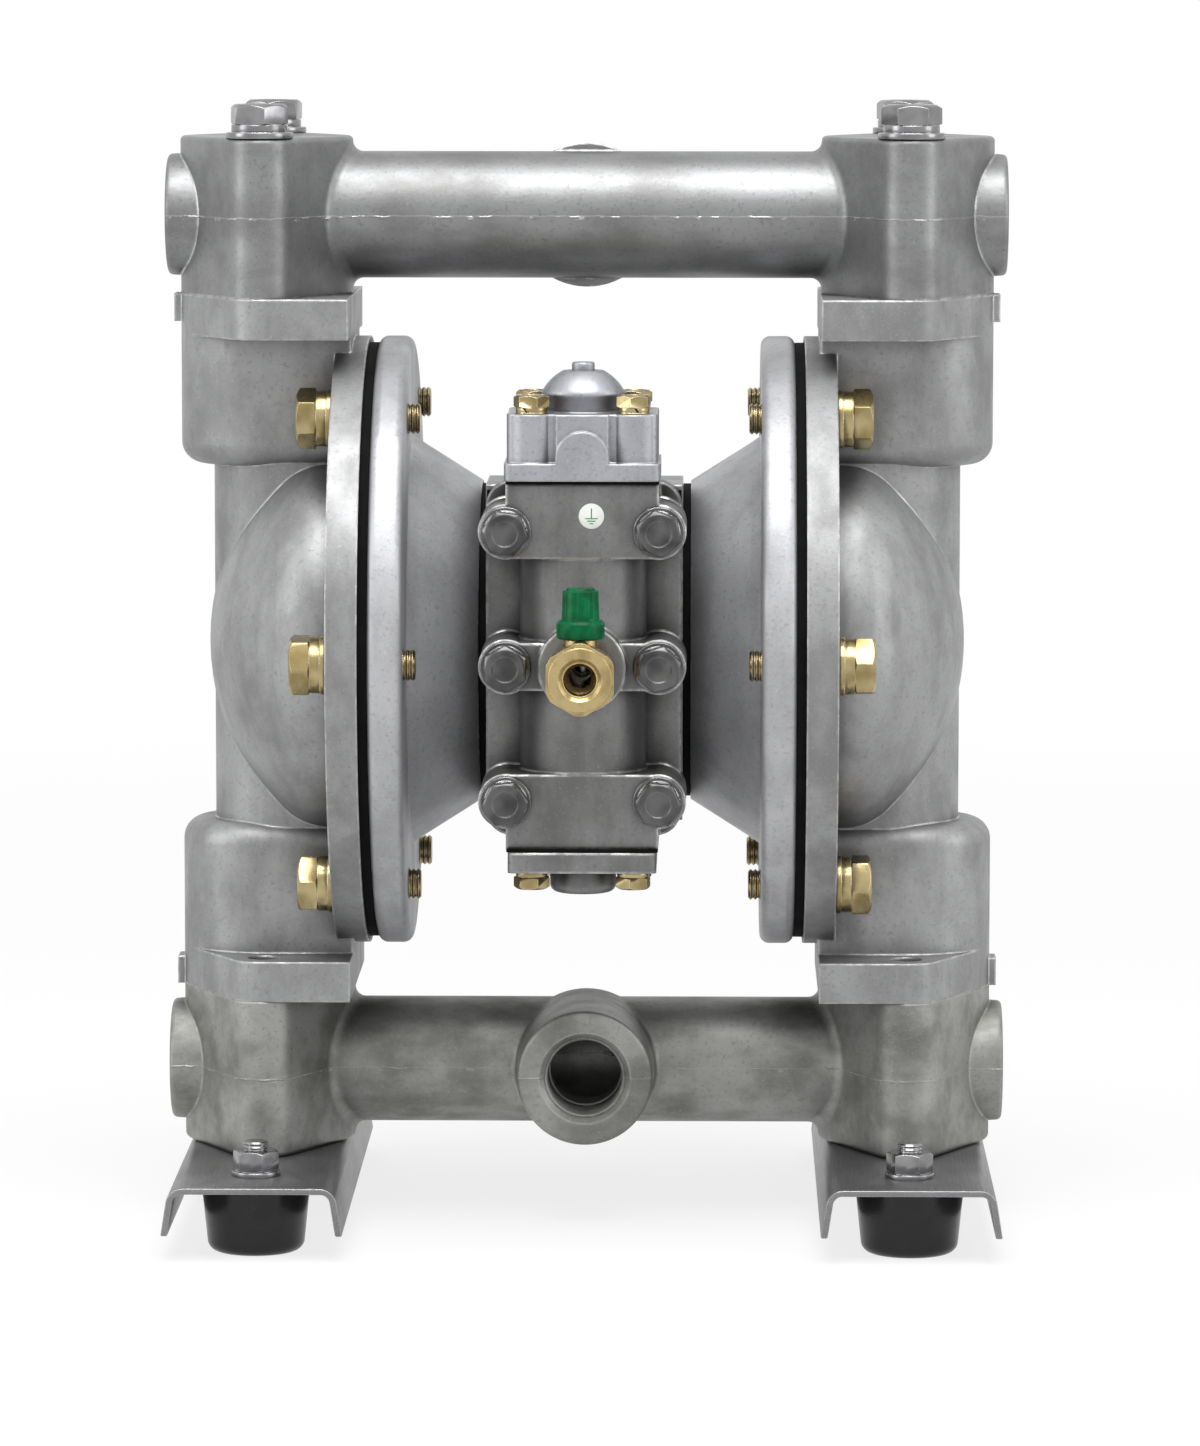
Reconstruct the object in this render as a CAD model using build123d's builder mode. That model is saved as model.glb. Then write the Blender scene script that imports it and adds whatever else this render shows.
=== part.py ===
from build123d import *
import os
from math import sqrt

os.makedirs("parts", exist_ok=True)

# Air operated double diaphragm pump, sizes in millimetres
# X runs along the diaphragm shaft, -Y is the front, Z = 0 is the floor

# Clearances
slide_gap = 0.05
stop_gap = 0.3
ball_gap = 0.02
seat_gap = 0.2
hole_gap = 0.5
trim = 1.0
touch = 0.1
thread_spare = 2.0
thread_show = 4.0

# Stand
foot_height = 22.0
foot_top_radius = 18.0
foot_base_radius = 14.0
foot_round = 4.5
foot_y = 78.0
foot_stud_radius = 4.0
foot_stud_depth = 12.0
foot_stud_show = 4.0
foot_washer_radius = 7.8
foot_washer_thick = 1.6
foot_nut_flats = 13.0
foot_nut_height = 6.5
sheet = 2.0
channel_width = 57.3
channel_length = 208.0
channel_leg = 15.3
channel_bend = 4.5

# Manifolds
column_x = 104.0
block_height = 51.0
block_radius = 28.0
boss_radius = 10.5
boss_y = 37.3
tube_radius = 20.5
tube_bore = 14.0
tube_fillet = 3.5
block_edge = 1.5
cap_root_radius = 22.0
cap_face_radius = 19.5
cap_end_x = 136.0
cap_edge = 1.5
port_root_radius = 23.4
port_face_radius = 21.8
port_reach = 42.0
port_edge = 1.5
port_bore = 13.0
port_thread = 20.0
port_throat = 11.5
port_chamfer = 1.8
port_fillet = 1.75
lower_well_radius = 16.0

# Check valves
seat_radius = 21.6
seat_bore = 12.0
seat_half = 4.0
seal_width = 3.0
seal_height = 2.0
ball_radius = 15.5
ball_lift = 7.0
well_radius = 20.0

# Chambers along the shaft
body_half = 31.4
gasket_thick = 2.5
air_depth = 33.6
air_flange = 11.0
diaphragm_thick = 3.0
fluid_flange = 10.1
chamber_half = 113.0
flange_radius = 99.0
flange_edge = 3.0
bolt_circle = 86.5
flange_bolt_count = 6

# Air chamber
hub_radius = 52.0
hub_bore = 10.0
cone_x = 52.9
cone_radius = 64.0
rim_radius = 66.5
air_wall = 5.0
bowl_mouth = 73.0

# Fluid chamber
dome_end_x = 123.0
dome_radius = 64.0
dome_crown = 80.0
dome_shoulder = 22.0
dome_wall = 5.0
housing_depth = 55.0
housing_round = 7.0
column_radius = 25.0
column_outer_x = 121.5
column_overlap = 2.0
plate_thick = 13.0
plate_inner_x = 75.5
lug_reach = 2.0
lug_width = 10.0
lug_depth = 9.0
window_inset = 2.0
window_width = 12.0
window_half = 12.0

# Diaphragm and discs
diaphragm_radius = 97.0
roll_outer = 70.0
roll_inner = 46.0
roll_rise = 6.0
disc_radius = 42.0
inner_disc_thick = 6.0
inner_disc_round = 2.0
outer_disc_edge = 3.0
outer_disc_rise = 9.5
outer_disc_nose = 14.0
stroke = 10.0

# Shaft
shaft_radius = 9.0
shaft_stud_radius = 6.0
shaft_stud_depth = 6.0
bush_radius = 13.0
bush_length = 11.0
seal_length = 6.4

# Centre body
body_radius = 50.0
body_front = 52.0
body_front_depth = 40.0
body_top_inset = 3.0
body_bottom_inset = 4.5
exhaust_boss_radius = 15.0
exhaust_boss_end = 58.0
exhaust_bore = 8.3
exhaust_depth = 34.0
passage_radius = 5.0
passage_z = 26.0
passage_y = 31.0
passage_overlap = 1.5

# Pilot valves
pilot_y = 26.0
pilot_bore = 5.2
pilot_floor_x = 14.0
pilot_pin_radius = 2.95
pilot_collar = 3.3
pilot_tail_radius = 2.0
pilot_tail = 8.0
pilot_collar_gap = 0.1
pilot_turns = 4
spring_wire = 0.9

# Silencer
silencer_thread = 12.0
silencer_flange_radius = 13.5
silencer_flange = 6.0
silencer_radius = 16.0
silencer_end_y = 133.0
silencer_round = 3.0
silencer_bore = 4.15

# Air valve body
valve_gasket = 1.0
valve_flange = 11.0
valve_flange_half_x = 31.0
valve_flange_inset = 1.0
valve_flange_corner = 8.0
valve_half_x = 24.0
valve_half_z = 57.5
spool_y = -71.0
barrel_radius = 20.0
pad_front_y = -91.5
pad_height = 23.5
ear_radius = 8.7
web_half = 7.5
inlet_boss_radius = 13.8
inlet_boss_y = -97.0
valve_bolt_x = 24.0
valve_bolt_inset = 15.0
sleeve_radius = 13.0
sleeve_inset = 7.5
spool_radius = 9.0
spool_waist = 6.0
spool_end_room = 8.0
spool_land = 12.0
spool_waists = 3
spool_travel = 8.0
spool_port_radius = 3.0
spool_port_pitch = 22.0

# Caps of the air valve
cap_gasket = 1.0
cap_bolt_x = 16.0
cap_bolt_y = 13.5
top_cap_width = 49.0
top_cap_depth = 46.0
top_cap_plate = 5.5
top_cap_shoulder = 20.7
top_cap_column = 7.8
cap_corner = 2.5
arch_half = 8.3
arch_rise = 15.5
dome_cap_radius = 12.5
dome_cap_side = 6.0
dome_cap_top = 33.5
dome_cap_top_radius = 6.5
bottom_cap_width = 46.8
bottom_cap_plate = 6.5
bottom_boss_radius = 10.5
bottom_boss = 8.5
spigot_radius = 8.5

# Reset button
button_radius = 3.6
button_stem_radius = 1.8
button_show = 2.7
button_head = 7.5
button_travel = 2.5
button_spring_room = 5.5
button_turns = 3
button_round = 0.7

# Inlet valve and its knob
inlet_face_y = -133.0
inlet_flats = 21.0
inlet_round = 11.3
inlet_hex_length = 7.5
inlet_ring_radius = 9.8
inlet_ring = 1.5
inlet_barrel_radius = 9.2
inlet_neck_flats = 17.0
inlet_neck = 9.0
inlet_thread_radius = 6.58
inlet_thread = 8.0
inlet_bore = 3.5
inlet_port_radius = 5.7
inlet_port_thread = 7.0
inlet_port_cone = 1.5
inlet_port_chamfer = 1.05
knob_y = -119.0
stem_boss_radius = 5.4
stem_boss_top = 11.4
stem_radius = 2.5
inlet_ball_radius = 5.0
knob_skirt_radius = 7.5
knob_skirt = 5.7
knob_radius = 5.6
knob_grip = 9.0
knob_flutes = 8
knob_flute_radius = 1.0
knob_top_radius = 4.6
knob_top = 1.0

# Fasteners
m10_radius = 5.0
m10_flats = 17.0
m10_head = 6.6
m10_washer_radius = 9.3
m10_washer = 5.0
m8_radius = 4.0
m8_flats = 13.0
m8_head = 5.3
m8_washer_radius = 8.0
m8_washer = 1.6
m8_collar_radius = 6.5
m8_collar = 2.0
m6_radius = 3.0
m6_flats = 10.0
m6_head = 4.0
m6_collar_radius = 5.1
m6_collar = 1.8
manifold_washer_radius = 10.7
manifold_washer = 4.3
screw_circle = 38.0
screw_head = 5.0
screw_grip = 14.0

# Heights worked out from the stack of pieces
base_top = foot_height + sheet
lower_seam = base_top + block_height
shaft_z = lower_seam + chamber_half
upper_seam = shaft_z + chamber_half
block_top = upper_seam + block_height

# Stations along the shaft, measured from the middle
chamber_back = body_half + gasket_thick
air_face = chamber_back + air_depth
rim_back = air_face - air_flange
fluid_face = air_face + diaphragm_thick
fluid_back = fluid_face + fluid_flange
bowl_floor = chamber_back + air_wall
inner_disc_x = air_face - inner_disc_thick
pilot_tip_x = inner_disc_x - stroke - stop_gap

# Check valve heights above a seam
ball_rise = seat_half + sqrt(ball_radius**2 - seat_bore**2) + ball_gap
well_depth = ball_rise + ball_radius + ball_lift + stop_gap
recess_radius = seat_radius + seat_gap

# Places in the air valve, front is negative
valve_back_y = -body_front - valve_gasket
top_cap_base = shaft_z + valve_half_z + cap_gasket
bottom_cap_base = shaft_z - valve_half_z - cap_gasket
valve_flange_half_z = valve_half_z - valve_flange_inset
pad_inner_z = valve_half_z - pad_height
valve_bolt_z = valve_half_z - valve_bolt_inset
body_front_up = valve_half_z - body_top_inset
body_front_down = valve_half_z - body_bottom_inset
sleeve_length = 2 * (valve_half_z - sleeve_inset)
spool_length = sleeve_length - 2 * spool_end_room
spool_reach = (spool_length + spool_travel) / 2
spigot_length = valve_half_z + cap_gasket - spool_reach - stop_gap

shaft_axis = Axis((0, 0, shaft_z), (1, 0, 0))
shaft_plane = Plane(origin=(0, 0, shaft_z), x_dir=(1, 0, 0), z_dir=(0, -1, 0))
base_up = (Align.CENTER, Align.CENTER, Align.MIN)


def along_x(x, y=0, z=shaft_z, side=1):
    """A plane across the shaft at x, facing outwards, its own x along Y."""
    return Plane(origin=(side * x, y, z), x_dir=(0, 1, 0), z_dir=(side, 0, 0))


def along_y(x, y, z, side=-1):
    """A plane that faces the front, or the rear with side 1."""
    return Plane(origin=(x, y, z), x_dir=(1, 0, 0), z_dir=(0, side, 0))


def along_z(x, y, z, side=1):
    """A plane that faces up, or down with side -1."""
    return Plane(origin=(x, y, z), x_dir=(1, 0, 0), z_dir=(0, 0, side))


def manifold_bolt_planes(z, side=1):
    """The four places of the manifold bolts, facing up or down."""
    return [along_z(x, y, z, side) for x in (-column_x, column_x) for y in (-boss_y, boss_y)]


def foot_planes(z):
    """The four places of the feet."""
    return [along_z(x, y, z) for x in (-column_x, column_x) for y in (-foot_y, foot_y)]


def flange_planes(x):
    """The places of the flange bolts on the right hand side, facing outwards."""
    middle = along_x(x)
    return [middle * place for place in PolarLocations(bolt_circle, flange_bolt_count)]


def cap_bolt_planes(z, side):
    """The four corners of a cap's bolt square, facing up or down."""
    rows = (spool_y - cap_bolt_y, spool_y + cap_bolt_y)
    return [along_z(x, y, z, side) for x in (-cap_bolt_x, cap_bolt_x) for y in rows]


def valve_bolt_planes(y):
    """The six bolts of the air valve body, facing the front."""
    rows = (shaft_z - valve_bolt_z, shaft_z, shaft_z + valve_bolt_z)
    return [along_y(x, y, z) for x in (-valve_bolt_x, valve_bolt_x) for z in rows]


def outline(plane, points):
    """A closed face on a plane from its corner points."""
    with BuildSketch(plane) as flat:
        with BuildLine():
            Polyline(*points, close=True)
        make_face()
    return flat.sketch


def disc(plane, radius, length):
    """A plain round piece standing on a plane."""
    with BuildPart(plane) as piece:
        Cylinder(radius, length, align=base_up)
    return piece.part


def ring(plane, outer, inner, length):
    """A plain ring standing on a plane."""
    with BuildPart(plane) as piece:
        Cylinder(outer, length, align=base_up)
        Cylinder(inner, length, align=base_up, mode=Mode.SUBTRACT)
    return piece.part


def hex_bolt(radius, flats, head, length, collar_radius=0, collar=0):
    """A bolt with its seat at the origin, head upwards and shank downwards."""
    with BuildPart() as bolt:
        with BuildSketch(Plane.XY.offset(collar)):
            RegularPolygon(flats / 2, 6, major_radius=False)
        extrude(amount=head)
        if collar:
            Cylinder(collar_radius, collar, align=base_up)
        with Locations((0, 0, -length)):
            Cylinder(radius, length + collar, align=base_up)
    return bolt.part


def coil_spring(plane, radius, length, turns):
    """A spring of square wire, its first end on the plane."""
    rise = length - spring_wire
    with BuildPart() as spring:
        start = plane.offset(spring_wire / 2)
        with BuildLine() as path:
            Helix(pitch=rise / turns, height=rise, radius=radius, center=start.origin,
                  direction=start.z_dir)
        with BuildSketch(Plane(origin=path.line @ 0, z_dir=path.line % 0)):
            Rectangle(spring_wire, spring_wire)
        sweep(path=path.line, is_frenet=True)
    return spring.part


def group(piece, planes):
    """Copies of one piece at several places, as one node."""
    with BuildPart() as copies:
        with Locations(*planes):
            add(piece)
    return copies.part


def mirrored(piece):
    """The left hand copy of a right hand piece."""
    return mirror(piece, about=Plane.YZ)


def keep(piece, name):
    """Label a finished piece and write its file."""
    piece.label = name
    export_step(piece, f"parts/{name}.step")


def keep_pair(piece, name):
    """Write a right hand piece and its left hand copy."""
    keep(piece, f"{name}_right")
    keep(mirrored(piece), f"{name}_left")


def lozenge(x, z):
    """The plan of a manifold block: a round column between two bolt bosses."""
    with BuildSketch(Plane.XY.offset(z)) as plan:
        with Locations((x, 0)):
            Circle(block_radius)
        with Locations((x, boss_y), (x, -boss_y)):
            Circle(boss_radius)
        make_hull()
    return plan.sketch


def hood(plane, width, height, corner):
    """A section with its top edge on the plane's origin and its top corners rounded."""
    with BuildSketch(plane) as section:
        with Locations((0, -height / 2)):
            Rectangle(width, height)
        fillet(section.vertices().group_by(Axis.Y)[-1], corner)
    return section.sketch


def base_channel():
    """A folded sheet channel, open downwards, with holes for the bolts and the feet."""
    end = along_y(column_x, channel_length / 2, base_top)
    under = along_y(column_x, channel_length / 2, base_top - sheet)
    with BuildPart() as channel:
        extrude(hood(end, channel_width, channel_leg, channel_bend), amount=channel_length)
        inside = hood(under, channel_width - 2 * sheet, channel_leg, channel_bend - sheet)
        extrude(inside, amount=channel_length, mode=Mode.SUBTRACT)
        with Locations(*[along_z(column_x, side * boss_y, foot_height) for side in (-1, 1)]):
            Cylinder(m10_radius + hole_gap, sheet, align=base_up, mode=Mode.SUBTRACT)
        with Locations(*[along_z(column_x, side * foot_y, foot_height) for side in (-1, 1)]):
            Cylinder(foot_stud_radius + hole_gap, sheet, align=base_up, mode=Mode.SUBTRACT)
    return channel.part


def rubber_foot():
    """A tapered foot with a rounded foot edge, hollow where its stud is moulded in."""
    with BuildPart() as foot:
        Cone(foot_base_radius, foot_top_radius, foot_height, align=base_up)
        fillet(foot.edges().group_by(Axis.Z)[0], foot_round)
        with Locations((0, 0, foot_height - foot_stud_depth)):
            Cylinder(foot_stud_radius, foot_stud_depth, align=base_up, mode=Mode.SUBTRACT)
    return foot.part


def foot_nut():
    """A hexagon nut standing on its washer, bored for the stud."""
    with BuildPart() as nut:
        with BuildSketch():
            RegularPolygon(foot_nut_flats / 2, 6, major_radius=False)
            Circle(foot_stud_radius, mode=Mode.SUBTRACT)
        extrude(amount=foot_nut_height)
    return nut.part


def manifold(block_base, seam_z, port_side, bore_radius, bore_depth):
    """Two valve blocks joined by a tube, with closed ends and one threaded port in the middle."""
    axis_z = block_base + block_height / 2
    into = 1 if seam_z == block_base else -1
    with BuildPart() as body:
        for side in (-1, 1):
            extrude(lozenge(side * column_x, block_base), amount=block_height)
        fillet(body.edges().filter_by(Plane.XY).filter_by(
            lambda edge: abs(edge.center().Z - seam_z) > touch), block_edge)
        with Locations(along_x(-column_x, z=axis_z)):
            Cylinder(tube_radius, 2 * column_x, align=base_up)
        fillet(body.edges(Select.LAST).filter_by(GeomType.BSPLINE), tube_fillet)
        for side in (-1, 1):
            with Locations(along_x(column_x, z=axis_z, side=side)):
                Cone(cap_root_radius, cap_face_radius, cap_end_x - column_x, align=base_up)
            rim = body.faces().sort_by(Axis.X)[0 if side < 0 else -1]
            fillet(rim.edges(), cap_edge)
        with Locations(along_y(0, 0, axis_z, port_side)):
            Cone(port_root_radius, port_face_radius, port_reach, align=base_up)
        fillet(body.edges(Select.LAST).filter_by(GeomType.BSPLINE), port_fillet)
        port_y = port_side * port_reach
        face = body.faces().filter_by_position(Axis.Y, port_y - touch, port_y + touch)
        fillet(face.edges(), port_edge)
        with Locations(along_y(0, 0, axis_z, port_side)):
            Cylinder(port_throat, port_reach, align=base_up, mode=Mode.SUBTRACT)
        with Locations(along_y(0, port_y - port_side * port_thread, axis_z, port_side)):
            Cylinder(port_bore, port_thread, align=base_up, mode=Mode.SUBTRACT)
        face = body.faces().filter_by_position(Axis.Y, port_y - touch, port_y + touch)
        chamfer(face.edges().sort_by(SortBy.LENGTH)[0], port_chamfer)
        with Locations(along_x(-column_x, z=axis_z)):
            Cylinder(tube_bore, 2 * column_x, align=base_up, mode=Mode.SUBTRACT)
        with Locations(*[along_z(side * column_x, 0, seam_z, into) for side in (-1, 1)]):
            Cylinder(bore_radius, bore_depth, align=base_up, mode=Mode.SUBTRACT)
            Cylinder(recess_radius, seat_half, align=base_up, mode=Mode.SUBTRACT)
            Cylinder(recess_radius + seal_width, seal_height, align=base_up, mode=Mode.SUBTRACT)
        with Locations(*manifold_bolt_planes(block_base)):
            Cylinder(m10_radius + hole_gap, block_height, align=base_up, mode=Mode.SUBTRACT)
    return body.part


def dome_profile(inset, start_x, start_radius):
    """Half the section of the dome, inset from its outside, opening to a radius at its start."""
    crown_x = dome_end_x - dome_crown
    reach = dome_crown - dome_shoulder
    shoulder_radius = dome_radius - dome_shoulder
    shoulder_run = sqrt(reach**2 - shoulder_radius**2)
    crown = dome_crown - inset
    shoulder_x = crown_x + shoulder_run
    tangent = (crown_x + crown * shoulder_run / reach, crown * shoulder_radius / reach)
    with BuildSketch(shaft_plane) as section:
        with BuildLine():
            Polyline(
                (dome_end_x - inset, 0), (start_x, 0), (start_x, start_radius),
                (shoulder_x, dome_radius - inset))
            TangentArc((shoulder_x, dome_radius - inset), tangent, tangent=(1, 0))
            RadiusArc(tangent, (dome_end_x - inset, 0), crown)
        make_face()
    return section.sketch


def fluid_chamber():
    """The right hand fluid chamber: bolted flange, dome, column and a valve housing at each end."""
    column_middle = column_outer_x - column_radius
    with BuildPart() as chamber:
        for end in (-1, 1):
            seam = shaft_z + end * chamber_half
            inner_end = seam - end * housing_depth
            with BuildSketch(Plane.XY.offset(seam)):
                with Locations((column_x, 0)):
                    Circle(block_radius)
                with Locations(((column_x + plate_inner_x) / 2, 0)):
                    Rectangle(column_x - plate_inner_x, 2 * block_radius)
            extrude(amount=-end * housing_depth)
            bottom = chamber.faces().filter_by_position(Axis.Z, inner_end - touch, inner_end + touch)
            rounded = bottom.edges().filter_by(lambda edge: edge.center().X > plate_inner_x + touch)
            fillet(rounded, housing_round)
        with BuildSketch(Plane.XY.offset(shaft_z)):
            with Locations((column_middle, 0)):
                Circle(column_radius)
            with Locations(((column_middle + plate_inner_x) / 2, 0)):
                Rectangle(column_middle - plate_inner_x, 2 * column_radius)
        extrude(amount=chamber_half - housing_depth + column_overlap, both=True)
        for end in (-1, 1):
            seam = shaft_z + end * chamber_half
            with BuildSketch(Plane.XY.offset(seam)):
                add(lozenge(column_x, 0))
                with Locations(((column_x + plate_inner_x) / 2, 0)):
                    Rectangle(column_x - plate_inner_x, 2 * (boss_y + boss_radius))
            extrude(amount=-end * plate_thick)
            with Locations((column_x + block_radius, 0, seam - end * lug_depth / 2)):
                Box(2 * lug_reach, lug_width, lug_depth)
        with Locations(along_x(fluid_face)):
            Cylinder(flange_radius, fluid_flange, align=base_up)
        revolve(dome_profile(0, fluid_face + trim, dome_radius), axis=shaft_axis)
        revolve(dome_profile(dome_wall, fluid_face, bowl_mouth), axis=shaft_axis, mode=Mode.SUBTRACT)
        window_depth = chamber_half - dome_radius + window_width
        for end in (-1, 1):
            seam = shaft_z + end * chamber_half
            with Locations(along_z(column_x, 0, seam, -end)):
                Cylinder(well_radius, well_depth, align=base_up, mode=Mode.SUBTRACT)
                Cylinder(recess_radius, seat_half, align=base_up, mode=Mode.SUBTRACT)
            window_x = column_x - well_radius + window_inset + window_width / 2
            with Locations(along_z(window_x, 0, seam, -end)):
                Box(window_width, 2 * window_half, window_depth, align=base_up, mode=Mode.SUBTRACT)
            with Locations(*[along_z(column_x, y, seam, -end) for y in (-boss_y, boss_y)]):
                Cylinder(m10_radius, plate_thick, align=base_up, mode=Mode.SUBTRACT)
        with Locations(along_x(fluid_face)):
            with PolarLocations(bolt_circle, flange_bolt_count):
                Cylinder(m10_radius + hole_gap, fluid_flange, align=base_up, mode=Mode.SUBTRACT)
    return chamber.part


def air_chamber():
    """The right hand air chamber, turned about the shaft, with threaded holes for the flange bolts."""
    with BuildPart() as chamber:
        revolve(outline(shaft_plane, [
            (chamber_back, hub_bore),
            (chamber_back, hub_radius),
            (cone_x, cone_radius),
            (rim_back, rim_radius),
            (rim_back, flange_radius),
            (air_face, flange_radius),
            (air_face, bowl_mouth),
            (air_face - diaphragm_thick, bowl_mouth - diaphragm_thick),
            (cone_x, cone_radius - air_wall),
            (bowl_floor, hub_radius - air_wall),
            (bowl_floor, hub_bore),
        ]), axis=shaft_axis)
        rims = chamber.edges().filter_by(GeomType.CIRCLE).filter_by(
            lambda edge: abs(edge.radius - flange_radius) < touch)
        fillet(rims, flange_edge)
        with Locations(along_x(rim_back)):
            with PolarLocations(bolt_circle, flange_bolt_count):
                Cylinder(m10_radius, air_flange, align=base_up, mode=Mode.SUBTRACT)
        with Locations(along_x(chamber_back)):
            with PolarLocations(screw_circle, 4, start_angle=45):
                Cylinder(m8_radius + hole_gap, air_wall, align=base_up, mode=Mode.SUBTRACT)
        with Locations(along_x(chamber_back, pilot_y)):
            Cylinder(pilot_pin_radius + slide_gap, air_wall, align=base_up, mode=Mode.SUBTRACT)
    return chamber.part


def chamber_gasket():
    """The flat gasket between an air chamber and the centre body."""
    with BuildPart(along_x(body_half)) as gasket:
        Cylinder(hub_radius - trim, gasket_thick, align=base_up)
        Cylinder(bush_radius, gasket_thick, align=base_up, mode=Mode.SUBTRACT)
        with PolarLocations(screw_circle, 4, start_angle=45):
            Cylinder(m8_radius + hole_gap, gasket_thick, align=base_up, mode=Mode.SUBTRACT)
        with Locations((pilot_y, 0)):
            Cylinder(pilot_bore, gasket_thick, align=base_up, mode=Mode.SUBTRACT)
    return gasket.part


def diaphragm():
    """A moulded diaphragm: clamped rim, one rolled fold and a flat middle."""
    roll_middle = (roll_outer + roll_inner) / 2
    with BuildPart() as sheet_part:
        with BuildSketch(shaft_plane):
            with BuildLine():
                Polyline(
                    (fluid_face, roll_outer), (fluid_face, diaphragm_radius),
                    (air_face, diaphragm_radius), (air_face, roll_outer - diaphragm_thick / 2))
                ThreePointArc(
                    (air_face, roll_outer - diaphragm_thick / 2), (air_face + roll_rise, roll_middle),
                    (air_face, roll_inner + diaphragm_thick / 2))
                Polyline(
                    (air_face, roll_inner + diaphragm_thick / 2), (air_face, shaft_stud_radius + slide_gap),
                    (fluid_face, shaft_stud_radius + slide_gap), (fluid_face, roll_inner))
                ThreePointArc(
                    (fluid_face, roll_inner), (fluid_face + roll_rise, roll_middle),
                    (fluid_face, roll_outer))
            make_face()
        revolve(axis=shaft_axis)
        with Locations(along_x(air_face)):
            with PolarLocations(bolt_circle, flange_bolt_count):
                Cylinder(m10_radius + hole_gap, diaphragm_thick, align=base_up, mode=Mode.SUBTRACT)
    return sheet_part.part


def inner_disc():
    """The flat disc that backs a diaphragm on its air side."""
    with BuildPart(along_x(inner_disc_x)) as plate:
        Cylinder(disc_radius, inner_disc_thick, align=base_up)
        fillet(plate.edges().filter_by(GeomType.CIRCLE).sort_by(Axis.X)[0], inner_disc_round)
        Cylinder(shaft_stud_radius, inner_disc_thick, align=base_up, mode=Mode.SUBTRACT)
    return plate.part


def outer_disc():
    """The domed disc on the fluid side, screwed to the end of the shaft."""
    with BuildPart() as plate:
        revolve(outline(shaft_plane, [
            (fluid_face, 0),
            (fluid_face, disc_radius),
            (fluid_face + outer_disc_edge, disc_radius),
            (fluid_face + outer_disc_rise, outer_disc_nose),
            (fluid_face + outer_disc_rise, 0),
        ]), axis=shaft_axis)
        with Locations(along_x(fluid_face)):
            Cylinder(shaft_stud_radius, shaft_stud_depth, align=base_up, mode=Mode.SUBTRACT)
    return plate.part


def shaft():
    """The main shaft, stepped down at both ends for the discs."""
    with BuildPart() as rod:
        with Locations(along_x(-inner_disc_x)):
            Cylinder(shaft_radius, 2 * inner_disc_x, align=base_up)
        stud_end = fluid_face + shaft_stud_depth
        with Locations(along_x(-stud_end)):
            Cylinder(shaft_stud_radius, 2 * stud_end, align=base_up)
    return rod.part


def centre_body():
    """The cast body between the air chambers, bored for the shaft, the pilots and the exhaust."""
    with BuildPart() as body:
        with Locations(along_x(-body_half)):
            Cylinder(body_radius, 2 * body_half, align=base_up)
        block_z = shaft_z + (body_front_up - body_front_down) / 2
        with Locations((0, -body_front + body_front_depth / 2, block_z)):
            Box(2 * body_half, body_front_depth, body_front_up + body_front_down)
        with Locations(along_y(0, 0, shaft_z, 1)):
            Cylinder(exhaust_boss_radius, exhaust_boss_end, align=base_up)
        with Locations(along_x(-body_half)):
            Cylinder(hub_bore, 2 * body_half, align=base_up, mode=Mode.SUBTRACT)
        for side in (-1, 1):
            with Locations(along_x(body_half, side=side)):
                with Locations((0, 0, -bush_length - seal_length)):
                    Cylinder(bush_radius, bush_length + seal_length, align=base_up, mode=Mode.SUBTRACT)
                with Locations((pilot_y, 0, pilot_floor_x - body_half)):
                    Cylinder(pilot_bore, body_half - pilot_floor_x, align=base_up, mode=Mode.SUBTRACT)
                with PolarLocations(screw_circle, 4, start_angle=45):
                    with Locations((0, 0, -screw_grip)):
                        Cylinder(m8_radius, screw_grip, align=base_up, mode=Mode.SUBTRACT)
        with Locations(along_y(0, exhaust_boss_end, shaft_z)):
            Cylinder(exhaust_bore, exhaust_depth, align=base_up, mode=Mode.SUBTRACT)
        with Locations(along_y(0, passage_y + passage_overlap, shaft_z + passage_z)):
            Cylinder(passage_radius, 2 * body_front, align=base_up, mode=Mode.SUBTRACT)
        with Locations(along_z(0, passage_y, shaft_z)):
            Cylinder(passage_radius, passage_z + passage_overlap, align=base_up, mode=Mode.SUBTRACT)
        with Locations(*valve_bolt_planes(-body_front + screw_grip)):
            Cylinder(m8_radius, screw_grip, align=base_up, mode=Mode.SUBTRACT)
    return body.part


def pilot_pin():
    """A pilot valve pin with its collar in the body and its tip in the air chamber."""
    collar_x = chamber_back - stop_gap - pilot_collar
    with BuildPart(along_x(collar_x, pilot_y)) as pin:
        Cylinder(pilot_bore - pilot_collar_gap, pilot_collar, align=base_up)
        Cylinder(pilot_pin_radius, pilot_tip_x - collar_x, align=base_up)
        with Locations((0, 0, -pilot_tail)):
            Cylinder(pilot_tail_radius, pilot_tail, align=base_up)
    return pin.part


def pilot_spring():
    """The spring that pushes a pilot pin out."""
    length = chamber_back - stop_gap - pilot_collar - pilot_floor_x
    radius = (pilot_bore + pilot_tail_radius) / 2
    return coil_spring(along_x(pilot_floor_x, pilot_y), radius, length, pilot_turns)


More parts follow.
